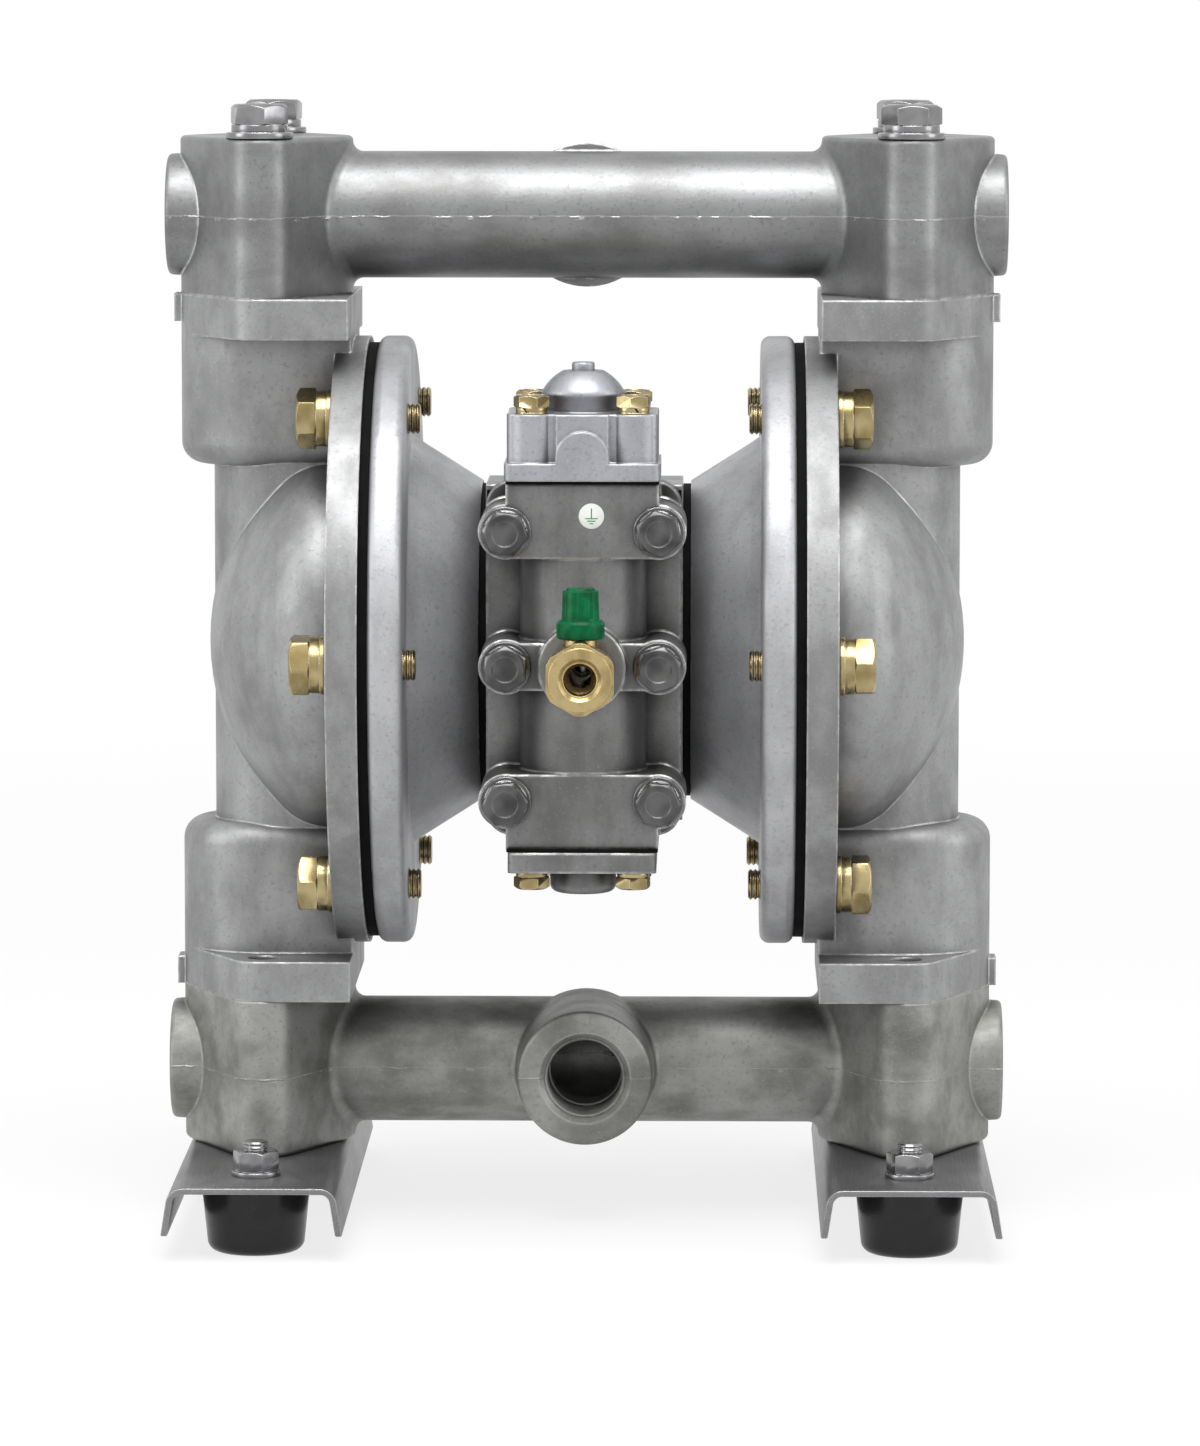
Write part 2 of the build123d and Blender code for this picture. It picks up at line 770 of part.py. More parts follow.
def silencer():
    """The exhaust silencer, a slotted can on a threaded neck."""
    can_start = exhaust_boss_end + silencer_flange
    can_length = silencer_end_y - can_start
    with BuildPart(along_y(0, exhaust_boss_end - silencer_thread, shaft_z, 1)) as can:
        Cylinder(exhaust_bore, silencer_thread, align=base_up)
        with Locations((0, 0, silencer_thread)):
            Cylinder(silencer_flange_radius, silencer_flange, align=base_up)
        with Locations((0, 0, silencer_thread + silencer_flange)):
            Cylinder(silencer_radius, can_length, align=base_up)
        fillet(can.edges().sort_by(Axis.Y)[-1], silencer_round)
        Cylinder(silencer_bore, silencer_thread + silencer_flange, align=base_up, mode=Mode.SUBTRACT)
    return can.part


def valve_body():
    """The air valve body: a barrel between two bolted pads, on a flange, with the air inlet boss."""
    with BuildPart() as body:
        with BuildSketch(along_y(0, valve_back_y, shaft_z)):
            RectangleRounded(2 * valve_flange_half_x, 2 * valve_flange_half_z, valve_flange_corner)
        extrude(amount=valve_flange)
        with BuildSketch(along_y(0, valve_back_y, shaft_z)):
            for end in (-1, 1):
                with Locations((0, end * (pad_inner_z + pad_height / 2))):
                    Rectangle(2 * valve_half_x, pad_height)
            with GridLocations(2 * valve_bolt_x, valve_bolt_z, 2, 3):
                Circle(ear_radius)
            Rectangle(2 * valve_bolt_x, 2 * web_half)
        extrude(amount=valve_back_y - pad_front_y)
        with Locations(along_z(0, spool_y, shaft_z - valve_half_z)):
            Cylinder(barrel_radius, 2 * valve_half_z, align=base_up)
        with Locations((0, valve_back_y + barrel_radius / 2, shaft_z)):
            Box(2 * valve_flange_half_x, barrel_radius, 2 * valve_half_z, mode=Mode.SUBTRACT)
        with Locations(along_y(0, spool_y, shaft_z)):
            Cylinder(inlet_boss_radius, spool_y - inlet_boss_y, align=base_up)
        with Locations(along_z(0, spool_y, shaft_z - valve_half_z)):
            Cylinder(sleeve_radius, 2 * valve_half_z, align=base_up, mode=Mode.SUBTRACT)
        with Locations(along_y(0, spool_y, shaft_z)):
            Cylinder(inlet_bore, spool_y - inlet_boss_y, align=base_up, mode=Mode.SUBTRACT)
        with Locations(along_y(0, inlet_boss_y + inlet_thread, shaft_z)):
            Cylinder(inlet_thread_radius, inlet_thread, align=base_up, mode=Mode.SUBTRACT)
        with Locations(along_y(0, valve_back_y, shaft_z + passage_z)):
            Cylinder(passage_radius, valve_back_y - spool_y, align=base_up, mode=Mode.SUBTRACT)
        with Locations(*valve_bolt_planes(valve_back_y)):
            Cylinder(m8_radius + hole_gap, valve_back_y - pad_front_y, align=base_up, mode=Mode.SUBTRACT)
        for end in (-1, 1):
            with Locations(*cap_bolt_planes(shaft_z + end * valve_half_z, -end)):
                Cylinder(m6_radius, screw_grip, align=base_up, mode=Mode.SUBTRACT)
    return body.part


def valve_gasket_sheet():
    """The thin gasket behind the air valve body."""
    with BuildPart(along_y(0, -body_front, shaft_z)) as gasket:
        with BuildSketch(along_y(0, -body_front, shaft_z)):
            Rectangle(2 * valve_flange_half_x, body_front_up + body_front_down - 2 * trim)
            with Locations((0, passage_z)):
                Circle(passage_radius, mode=Mode.SUBTRACT)
            with GridLocations(2 * valve_bolt_x, valve_bolt_z, 2, 3):
                Circle(m8_radius + hole_gap, mode=Mode.SUBTRACT)
        extrude(amount=valve_gasket)
    return gasket.part


def valve_sleeve():
    """The bored sleeve that the spool slides in, with three cross ports."""
    with BuildPart(along_z(0, spool_y, shaft_z - sleeve_length / 2)) as sleeve:
        Cylinder(sleeve_radius, sleeve_length, align=base_up)
        Cylinder(spool_radius, sleeve_length, align=base_up, mode=Mode.SUBTRACT)
        with Locations(*[(0, 0, sleeve_length / 2 + step * spool_port_pitch) for step in (-1, 0, 1)]):
            Cylinder(spool_port_radius, 2 * sleeve_radius, rotation=(90, 0, 0), mode=Mode.SUBTRACT)
    return sleeve.part


def valve_spool():
    """The spool, a rod with lands that fit the sleeve."""
    radius = spool_radius - slide_gap
    low = shaft_z - spool_reach
    with BuildPart(along_z(0, spool_y, low)) as spool:
        Cylinder(radius, spool_length, align=base_up)
        with Locations(*[(0, 0, spool_land * step) for step in range(1, 2 * spool_waists, 2)]):
            Cylinder(radius, spool_land, align=base_up, mode=Mode.SUBTRACT)
            Cylinder(spool_waist, spool_land, align=base_up)
    return spool.part


def top_cap():
    """The cast cap over the spool: plate, four bolt columns, an arched front and a dome."""
    with BuildPart() as cap:
        with BuildSketch(along_z(0, spool_y, top_cap_base)):
            RectangleRounded(top_cap_width, top_cap_depth, cap_corner)
        extrude(amount=top_cap_plate)
        with Locations(*cap_bolt_planes(top_cap_base, 1)):
            Cylinder(top_cap_column, top_cap_shoulder, align=base_up)
        with BuildSketch(along_z(0, spool_y, top_cap_base)):
            RectangleRounded(top_cap_width - 2 * trim, top_cap_depth - top_cap_column, cap_corner)
            Rectangle(2 * (cap_bolt_x - top_cap_column), top_cap_depth - top_cap_column / 2)
        extrude(amount=top_cap_shoulder)
        upright = along_y(0, spool_y, top_cap_base)
        with BuildSketch(upright):
            with BuildLine():
                spring_line = arch_rise - arch_half
                Polyline(
                    (arch_half, spring_line), (arch_half, 0), (-arch_half, 0), (-arch_half, spring_line))
                ThreePointArc((arch_half, spring_line), (0, arch_rise), (-arch_half, spring_line))
            make_face()
        extrude(amount=top_cap_depth / 2)
        dome_line = [
            (0, 0), (dome_cap_radius, 0), (dome_cap_radius, top_cap_shoulder + dome_cap_side),
            (dome_cap_top_radius, dome_cap_top), (0, dome_cap_top)]
        revolve(outline(upright, dome_line), axis=Axis((0, spool_y, top_cap_base), (0, 0, 1)))
        with Locations(*cap_bolt_planes(top_cap_base, 1)):
            Cylinder(m6_radius + hole_gap, top_cap_shoulder, align=base_up, mode=Mode.SUBTRACT)
        with Locations(along_z(0, spool_y, top_cap_base - spigot_length)):
            Cylinder(spigot_radius, spigot_length, align=base_up)
            Cylinder(button_stem_radius + slide_gap, spigot_length + dome_cap_top,
                     align=base_up, mode=Mode.SUBTRACT)
        with Locations(along_z(0, spool_y, top_cap_base + dome_cap_top, -1)):
            well = button_head - button_show + button_spring_room
            Cylinder(button_radius + slide_gap, well, align=base_up, mode=Mode.SUBTRACT)
    return cap.part


def bottom_cap():
    """The lower cap of the air valve, a plate with a round boss."""
    with BuildPart() as cap:
        with BuildSketch(along_z(0, spool_y, bottom_cap_base)):
            RectangleRounded(bottom_cap_width, top_cap_depth, cap_corner)
        extrude(amount=-bottom_cap_plate)
        with Locations(along_z(0, spool_y, bottom_cap_base, -1)):
            Cylinder(bottom_boss_radius, bottom_cap_plate + bottom_boss, align=base_up)
        fillet(cap.faces().sort_by(Axis.Z)[0].edges(), cap_corner)
        with Locations(along_z(0, spool_y, bottom_cap_base)):
            Cylinder(spigot_radius, spigot_length, align=base_up)
        with Locations(*cap_bolt_planes(bottom_cap_base, -1)):
            Cylinder(m6_radius + hole_gap, bottom_cap_plate, align=base_up, mode=Mode.SUBTRACT)
    return cap.part


def cap_gasket_sheet(z, width):
    """A thin gasket under a cap of the air valve."""
    with BuildPart() as gasket:
        with BuildSketch(along_z(0, spool_y, z)):
            RectangleRounded(width, top_cap_depth - trim, cap_corner)
            Circle(sleeve_radius, mode=Mode.SUBTRACT)
            with GridLocations(2 * cap_bolt_x, 2 * cap_bolt_y, 2, 2):
                Circle(m6_radius + hole_gap, mode=Mode.SUBTRACT)
        extrude(amount=cap_gasket)
    return gasket.part


def reset_button():
    """The button that nudges a stuck spool, with its stem inside the cap."""
    head_base = top_cap_base + dome_cap_top + button_show - button_head
    with BuildPart(along_z(0, spool_y, head_base)) as button:
        Cylinder(button_radius, button_head, align=base_up)
        fillet(button.edges().sort_by(Axis.Z)[-1], button_round)
        stem = head_base - shaft_z - spool_reach - button_travel - stop_gap
        with Locations((0, 0, -stem)):
            Cylinder(button_stem_radius, stem, align=base_up)
    return button.part


def reset_spring():
    """The return spring under the button's head."""
    floor_z = top_cap_base + dome_cap_top + button_show - button_head - button_spring_room
    radius = (button_radius + button_stem_radius) / 2
    return coil_spring(along_z(0, spool_y, floor_z), radius, button_spring_room, button_turns)


def inlet_valve_body():
    """The brass ball valve at the air inlet, threaded into the valve body's boss."""
    with BuildPart() as body:
        with BuildSketch(along_y(0, inlet_face_y + inlet_ring + inlet_hex_length, shaft_z)):
            RegularPolygon(inlet_flats / 2, 6, major_radius=False, rotation=30)
            Circle(inlet_round, mode=Mode.INTERSECT)
        extrude(amount=inlet_hex_length)
        with Locations(along_y(0, inlet_face_y, shaft_z, 1)):
            Cylinder(inlet_ring_radius, inlet_ring, align=base_up)
        with Locations(along_y(0, inlet_boss_y - inlet_neck, shaft_z)):
            length = inlet_boss_y - inlet_neck - inlet_face_y - inlet_ring
            Cylinder(inlet_barrel_radius, length, align=base_up)
        with BuildSketch(along_y(0, inlet_boss_y, shaft_z)):
            RegularPolygon(inlet_neck_flats / 2, 6, major_radius=False, rotation=30)
        extrude(amount=inlet_neck)
        with Locations(along_y(0, inlet_boss_y + inlet_thread, shaft_z)):
            Cylinder(inlet_thread_radius, inlet_thread, align=base_up)
        with Locations(along_z(0, knob_y, shaft_z)):
            Cylinder(stem_boss_radius, stem_boss_top, align=base_up)
        bore_plane = Plane(origin=(0, inlet_face_y, shaft_z), x_dir=(0, 1, 0), z_dir=(1, 0, 0))
        thread_end = inlet_port_chamfer + inlet_port_thread
        revolve(outline(bore_plane, [
            (0, 0),
            (0, inlet_port_radius + inlet_port_chamfer),
            (inlet_port_chamfer, inlet_port_radius),
            (thread_end, inlet_port_radius),
            (thread_end + inlet_port_cone, inlet_bore),
            (inlet_boss_y + inlet_thread - inlet_face_y, inlet_bore),
            (inlet_boss_y + inlet_thread - inlet_face_y, 0),
        ]), axis=Axis((0, 0, shaft_z), (0, 1, 0)), mode=Mode.SUBTRACT)
        with Locations((0, knob_y, shaft_z)):
            Sphere(inlet_ball_radius + slide_gap, mode=Mode.SUBTRACT)
        with Locations(along_z(0, knob_y, shaft_z)):
            Cylinder(stem_radius + slide_gap, stem_boss_top, align=base_up, mode=Mode.SUBTRACT)
    return body.part


def inlet_valve_ball():
    """The drilled ball of the inlet valve with its stem."""
    with BuildPart() as ball:
        with Locations((0, knob_y, shaft_z)):
            Sphere(inlet_ball_radius)
        with Locations(along_z(0, knob_y, shaft_z)):
            Cylinder(stem_radius, stem_boss_top + knob_skirt, align=base_up)
        with Locations((0, knob_y, shaft_z)):
            Cylinder(inlet_bore, 2 * inlet_ball_radius, rotation=(90, 0, 0), mode=Mode.SUBTRACT)
    return ball.part


def knob():
    """The fluted knob on the stem of the inlet valve."""
    with BuildPart(along_z(0, knob_y, shaft_z + stem_boss_top + stop_gap)) as grip:
        Cylinder(knob_skirt_radius, knob_skirt, align=base_up)
        with Locations((0, 0, knob_skirt)):
            Cylinder(knob_radius, knob_grip, align=base_up)
        with Locations((0, 0, knob_skirt)):
            with PolarLocations(knob_radius, knob_flutes):
                Cylinder(knob_flute_radius, knob_grip, align=base_up, mode=Mode.SUBTRACT)
        with Locations((0, 0, knob_skirt + knob_grip)):
            Cone(knob_top_radius, knob_top_radius - knob_top, knob_top, align=base_up)
        Cylinder(stem_radius, knob_skirt - stop_gap, align=base_up, mode=Mode.SUBTRACT)
    return grip.part


# Stand
keep_pair(base_channel(), "base_channel")
keep(group(rubber_foot(), foot_planes(0)), "rubber_feet")
foot_clamp = sheet + foot_washer_thick + foot_nut_height
foot_stud = disc(Plane.XY, foot_stud_radius, foot_stud_depth + foot_clamp + foot_stud_show)
keep(group(foot_stud, foot_planes(foot_height - foot_stud_depth)), "foot_studs")
foot_washer = ring(Plane.XY, foot_washer_radius, foot_stud_radius, foot_washer_thick)
keep(group(foot_washer, foot_planes(base_top)), "foot_washers")
keep(group(foot_nut(), foot_planes(base_top + foot_washer_thick)), "foot_nuts")

# Manifolds and check valves
keep(manifold(base_top, lower_seam, -1, lower_well_radius, block_height / 2), "lower_manifold")
keep(manifold(upper_seam, upper_seam, 1, well_radius, well_depth), "upper_manifold")
seat = ring(Plane.XY, seat_radius, seat_bore, 2 * seat_half)
seat_seal = ring(Plane.XY, recess_radius + seal_width, seat_radius, seal_height)
for seam, level, into in ((lower_seam, "lower", -1), (upper_seam, "upper", 1)):
    seat_planes = [along_z(x, 0, seam - seat_half) for x in (-column_x, column_x)]
    keep(group(seat, seat_planes), f"{level}_valve_seats")
    for x, hand in ((-column_x, "left"), (column_x, "right")):
        with BuildPart() as ball:
            with Locations((x, 0, seam + ball_rise)):
                Sphere(ball_radius)
        keep(ball.part, f"{level}_ball_{hand}")
seal_planes = [along_z(x, 0, lower_seam - seal_height) for x in (-column_x, column_x)]
seal_planes += [along_z(x, 0, upper_seam) for x in (-column_x, column_x)]
keep(group(seat_seal, seal_planes), "seat_seals")

# Chambers, diaphragms and shaft
keep_pair(fluid_chamber(), "fluid_chamber")
keep_pair(air_chamber(), "air_chamber")
keep_pair(chamber_gasket(), "chamber_gasket")
keep_pair(diaphragm(), "diaphragm")
keep_pair(inner_disc(), "inner_disc")
keep_pair(outer_disc(), "outer_disc")
keep(shaft(), "shaft")
bush = ring(Plane.XY, bush_radius, shaft_radius + slide_gap, bush_length)
bush_planes = [along_x(body_half - seal_length, side=side) for side in (-1, 1)]
keep(group(bush, [plane.offset(-bush_length) for plane in bush_planes]), "shaft_bushes")
shaft_seal = ring(Plane.XY, bush_radius, shaft_radius + slide_gap, seal_length)
keep(group(shaft_seal, bush_planes), "shaft_seals")

# Centre body, pilots and silencer
keep(centre_body(), "centre_body")
keep_pair(pilot_pin(), "pilot_pin")
keep_pair(pilot_spring(), "pilot_spring")
keep(silencer(), "silencer")

# Air valve
keep(valve_body(), "valve_body")
keep(valve_gasket_sheet(), "valve_gasket")
keep(valve_sleeve(), "valve_sleeve")
keep(valve_spool(), "valve_spool")
keep(top_cap(), "top_cap")
keep(bottom_cap(), "bottom_cap")
with BuildPart() as cap_gaskets:
    add(cap_gasket_sheet(shaft_z + valve_half_z, top_cap_width - trim))
    add(cap_gasket_sheet(bottom_cap_base, bottom_cap_width + trim))
keep(cap_gaskets.part, "cap_gaskets")
keep(reset_button(), "reset_button")
keep(reset_spring(), "reset_spring")

# Inlet valve
keep(inlet_valve_body(), "inlet_valve_body")
keep(inlet_valve_ball(), "inlet_valve_ball")
keep(knob(), "knob")

# Fasteners
flange_length = fluid_flange + diaphragm_thick + air_flange + m10_washer + thread_show
flange_bolt = hex_bolt(m10_radius, m10_flats, m10_head, flange_length)
keep_pair(group(flange_bolt, flange_planes(fluid_back + m10_washer)), "flange_bolts")
with BuildPart() as flange_washers:
    add(group(ring(Plane.XY, m10_washer_radius, m10_radius, m10_washer), flange_planes(fluid_back)))
    mirror(about=Plane.YZ)
keep(flange_washers.part, "flange_washers")
upper_length = manifold_washer + block_height + plate_thick - trim
upper_bolt = hex_bolt(m10_radius, m10_flats, m10_head, upper_length)
keep(group(upper_bolt, manifold_bolt_planes(block_top + manifold_washer)), "upper_manifold_bolts")
manifold_ring = ring(Plane.XY, manifold_washer_radius, m10_radius, manifold_washer)
keep(group(manifold_ring, manifold_bolt_planes(block_top)), "manifold_washers")
lower_length = sheet + block_height + plate_thick - trim
lower_bolt = hex_bolt(m10_radius, m10_flats, m10_head, lower_length)
keep(group(lower_bolt, manifold_bolt_planes(foot_height, -1)), "lower_manifold_bolts")
screw_hold = screw_grip - thread_spare
valve_length = m8_washer + valve_back_y - pad_front_y + valve_gasket + screw_hold
valve_bolt = hex_bolt(m8_radius, m8_flats, m8_head, valve_length, m8_collar_radius, m8_collar)
keep(group(valve_bolt, valve_bolt_planes(pad_front_y - m8_washer)), "valve_body_bolts")
valve_washer = ring(Plane.XY, m8_washer_radius, m8_radius, m8_washer)
keep(group(valve_washer, valve_bolt_planes(pad_front_y)), "valve_body_washers")
top_length = top_cap_shoulder + cap_gasket + screw_hold
top_bolt = hex_bolt(m6_radius, m6_flats, m6_head, top_length, m6_collar_radius, m6_collar)
keep(group(top_bolt, cap_bolt_planes(top_cap_base + top_cap_shoulder, 1)), "top_cap_bolts")
bottom_length = bottom_cap_plate + cap_gasket + screw_hold
bottom_bolt = hex_bolt(m6_radius, m6_flats, m6_head, bottom_length, m6_collar_radius, m6_collar)
keep(group(bottom_bolt, cap_bolt_planes(bottom_cap_base - bottom_cap_plate, -1)), "bottom_cap_bolts")
chamber_screw = hex_bolt(m8_radius, m8_flats, screw_head, air_wall + gasket_thick + screw_hold)
with PolarLocations(screw_circle, 4, start_angle=45) as screw_places:
    screw_planes = [along_x(bowl_floor, side=side) * place for side in (-1, 1) for place in screw_places]
keep(group(chamber_screw, screw_planes), "chamber_screws")
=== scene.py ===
"""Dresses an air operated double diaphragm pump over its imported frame.

Sizes are in millimetres in the classes below, and become metres as each piece is built.
X runs along the shaft, -Y is the front and Z is up from the floor.
"""

import logging
import math
from dataclasses import dataclass, field
from enum import Enum
from typing import Callable, Sequence

import bpy
from mathutils import Matrix, Vector


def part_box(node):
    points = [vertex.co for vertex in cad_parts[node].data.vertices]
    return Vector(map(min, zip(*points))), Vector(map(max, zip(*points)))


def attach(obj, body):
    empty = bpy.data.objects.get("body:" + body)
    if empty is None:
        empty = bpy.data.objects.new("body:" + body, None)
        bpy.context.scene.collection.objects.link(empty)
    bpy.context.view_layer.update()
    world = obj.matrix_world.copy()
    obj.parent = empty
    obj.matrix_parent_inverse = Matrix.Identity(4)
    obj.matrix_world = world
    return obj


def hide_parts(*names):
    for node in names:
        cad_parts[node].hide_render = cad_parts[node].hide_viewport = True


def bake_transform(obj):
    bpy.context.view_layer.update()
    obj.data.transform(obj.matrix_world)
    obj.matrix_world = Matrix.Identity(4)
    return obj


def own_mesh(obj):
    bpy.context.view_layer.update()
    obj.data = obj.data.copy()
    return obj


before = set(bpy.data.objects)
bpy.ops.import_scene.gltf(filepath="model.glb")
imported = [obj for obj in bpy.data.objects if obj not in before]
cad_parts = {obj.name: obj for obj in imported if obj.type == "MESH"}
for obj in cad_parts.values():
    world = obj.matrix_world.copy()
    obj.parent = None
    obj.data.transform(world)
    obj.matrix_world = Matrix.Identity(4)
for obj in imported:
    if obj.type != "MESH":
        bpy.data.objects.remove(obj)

LOG = logging.getLogger("pump")
MM = 0.001
SHAFT_Z = 188.0
COLUMN_X = 104.0
BOSS_Y = 37.3
FOOT_Y = 78.0
BASE_TOP_Z = 24.0
INLET_Z = 49.5
OUTLET_Z = 326.5
VALVE_FRONT_Y = -91.5
SPOOL_Y = -71.0
Point = tuple[float, float, float]
Colour = tuple[float, float, float]
Pair = tuple[float, float]
Piece = bpy.types.Object


# Shader expressions


class Value:
    """One output of a node, so that shader maths reads as plain arithmetic."""

    def __init__(self, tree: "Tree", socket: bpy.types.NodeSocket) -> None:
        """Keeps the tree and the socket."""
        self.tree = tree
        self.socket = socket

    def __add__(self, other: "Value | float") -> "Value":
        """The sum."""
        return self.tree.math("ADD", self, other)

    def __radd__(self, other: float) -> "Value":
        """The sum, with the number first."""
        return self.tree.math("ADD", other, self)

    def __sub__(self, other: "Value | float") -> "Value":
        """The difference."""
        return self.tree.math("SUBTRACT", self, other)

    def __rsub__(self, other: float) -> "Value":
        """The difference, with the number first."""
        return self.tree.math("SUBTRACT", other, self)

    def __mul__(self, other: "Value | float") -> "Value":
        """The product."""
        return self.tree.math("MULTIPLY", self, other)

    def __rmul__(self, other: float) -> "Value":
        """The product, with the number first."""
        return self.tree.math("MULTIPLY", other, self)

    def __abs__(self) -> "Value":
        """The size without its sign."""
        return self.tree.math("ABSOLUTE", self)


class Tree:
    """The node tree of one material or of the world, built from expressions."""

    def __init__(self, name: str, world: bool = False) -> None:
        """Makes an empty material or world of that name."""
        self.owner = (bpy.data.worlds if world else bpy.data.materials).new(name)
        self.owner.use_nodes = True
        self.nodes = self.owner.node_tree.nodes
        self.links = self.owner.node_tree.links
        self.nodes.clear()

    def node(self, kind: str, settings: dict | None = None,
             inputs: dict | None = None) -> bpy.types.Node:
        """Makes any node.

        Args:
            kind: The node's type.
            settings: Its own properties, set first.
            inputs: Values or links, by the socket's name or number.

        Returns:
            The node.
        """
        made = self.nodes.new(kind)
        for key, value in (settings or {}).items():
            setattr(made, key, value)
        for key, value in (inputs or {}).items():
            if isinstance(value, Value):
                self.links.new(value.socket, made.inputs[key])
            else:
                made.inputs[key].default_value = value
        return made

    def math(self, operation: str, *terms: "Value | float") -> Value:
        """One Math node on values or numbers."""
        made = self.node("ShaderNodeMath", {"operation": operation}, dict(enumerate(terms)))
        return Value(self, made.outputs[0])

    def place(self) -> Value:
        """The point on the piece, in metres of the row frame."""
        return Value(self, self.node("ShaderNodeTexCoord").outputs["Object"])

    def axes(self) -> tuple[Value, Value, Value]:
        """X, Y and Z of the point, in millimetres."""
        scaled = self.node("ShaderNodeVectorMath", {"operation": "SCALE"},
                           {0: self.place(), "Scale": 1 / MM})
        parts = self.node("ShaderNodeSeparateXYZ", {}, {0: Value(self, scaled.outputs[0])})
        return tuple(Value(self, out) for out in parts.outputs)

    def noise(self, size: float, detail: float = 3.0, stretch: Point = (1.0, 1.0, 1.0),
              roughness: float = 0.5) -> Value:
        """A noise from 0 to 1.

        Args:
            size: The size of its blotches in millimetres.
            detail: How many finer layers it has.
            stretch: How much longer the blotches are along X, Y and Z.
            roughness: The strength of the finer layers.

        Returns:
            Its value.
        """
        scale = tuple(1 / (size * MM * part) for part in stretch)
        moved = self.node("ShaderNodeMapping", {}, {"Vector": self.place(), "Scale": scale})
        made = self.node("ShaderNodeTexNoise", {}, {
            "Vector": Value(self, moved.outputs[0]), "Scale": 1.0, "Detail": detail,
            "Roughness": roughness})
        return Value(self, made.outputs[0])

    def smooth(self, value: Value, low: float, high: float) -> Value:
        """A soft step from 0 at low to 1 at high."""
        made = self.node("ShaderNodeMapRange", {"interpolation_type": "SMOOTHSTEP"},
                         {0: value, 1: low, 2: high, 3: 0.0, 4: 1.0})
        return Value(self, made.outputs[0])

    def band(self, value: Value, middle: float, half: float, soft: float) -> Value:
        """1 within half of the middle, fading to 0 over soft."""
        return 1 - self.smooth(abs(value - middle), half, half + soft)

    def mix(self, share: Value | float, first: "Value | Colour", second: "Value | Colour") -> Value:
        """A colour between two others."""
        ends = [end if isinstance(end, Value) else (*end, 1.0) for end in (first, second)]
        made = self.node("ShaderNodeMix", {"data_type": "RGBA"}, {0: share, 6: ends[0], 7: ends[1]})
        return Value(self, made.outputs[2])

    def rounded_normal(self, radius: float) -> tuple[Value, Value]:
        """The normal with its edges rounded, and a mask of those edges.

        Args:
            radius: The edge's radius in millimetres.

        Returns:
            The normal, and 1 on an edge falling to 0 away from it.
        """
        rounded = self.node("ShaderNodeBevel", {"samples": 5}, {"Radius": radius * MM})
        bevel = Value(self, rounded.outputs[0])
        plain = Value(self, self.node("ShaderNodeNewGeometry").outputs["Normal"])
        made = self.node("ShaderNodeVectorMath", {"operation": "DOT_PRODUCT"}, {0: bevel, 1: plain})
        turned = Value(self, made.outputs["Value"])
        return bevel, self.smooth(1 - turned, 0.004, 0.12)

    def hollow(self, reach: float) -> Value:
        """How enclosed the surface is within some millimetres, from 0 in the open to 1; the castings
        paint shade into their hollows by it.
        """
        node = self.node("ShaderNodeAmbientOcclusion", {"samples": 8, "only_local": False},
                         {"Distance": reach * MM})
        return 1.0 - Value(self, node.outputs["AO"])

    def bump(self, height: Value, depth: float, normal: Value | None = None,
             strength: float = 1.0) -> Value:
        """A bump normal.

        Args:
            height: The relief, 0 to 1.
            depth: Its depth in millimetres.
            normal: The normal below it.
            strength: How much of it shows.

        Returns:
            The new normal.
        """
        inputs = {"Height": height, "Distance": depth * MM, "Strength": strength}
        if normal is not None:
            inputs["Normal"] = normal
        return Value(self, self.node("ShaderNodeBump", {}, inputs).outputs[0])

    def seen(self) -> Value:
        """1 where the camera, gloss or glass looks at it, and 0 for any other ray."""
        paths = self.node("ShaderNodeLightPath")
        camera, glossy, through = (Value(self, paths.outputs[ray]) for ray in (
            "Is Camera Ray", "Is Glossy Ray", "Is Transmission Ray"))
        return self.math("MAXIMUM", self.math("MAXIMUM", camera, glossy), through)

    def close(self, shader: bpy.types.Node, kind: str = "ShaderNodeOutputMaterial") -> None:
        """Links the last shader to an output node of that kind."""
        self.links.new(shader.outputs[0], self.node(kind).inputs["Surface"])

    def finish(self, inputs: dict) -> bpy.types.Material:
        """Ends the tree in a Principled shader and returns the material."""
        self.close(self.node("ShaderNodeBsdfPrincipled", {}, inputs))
        return self.owner


# Finishes


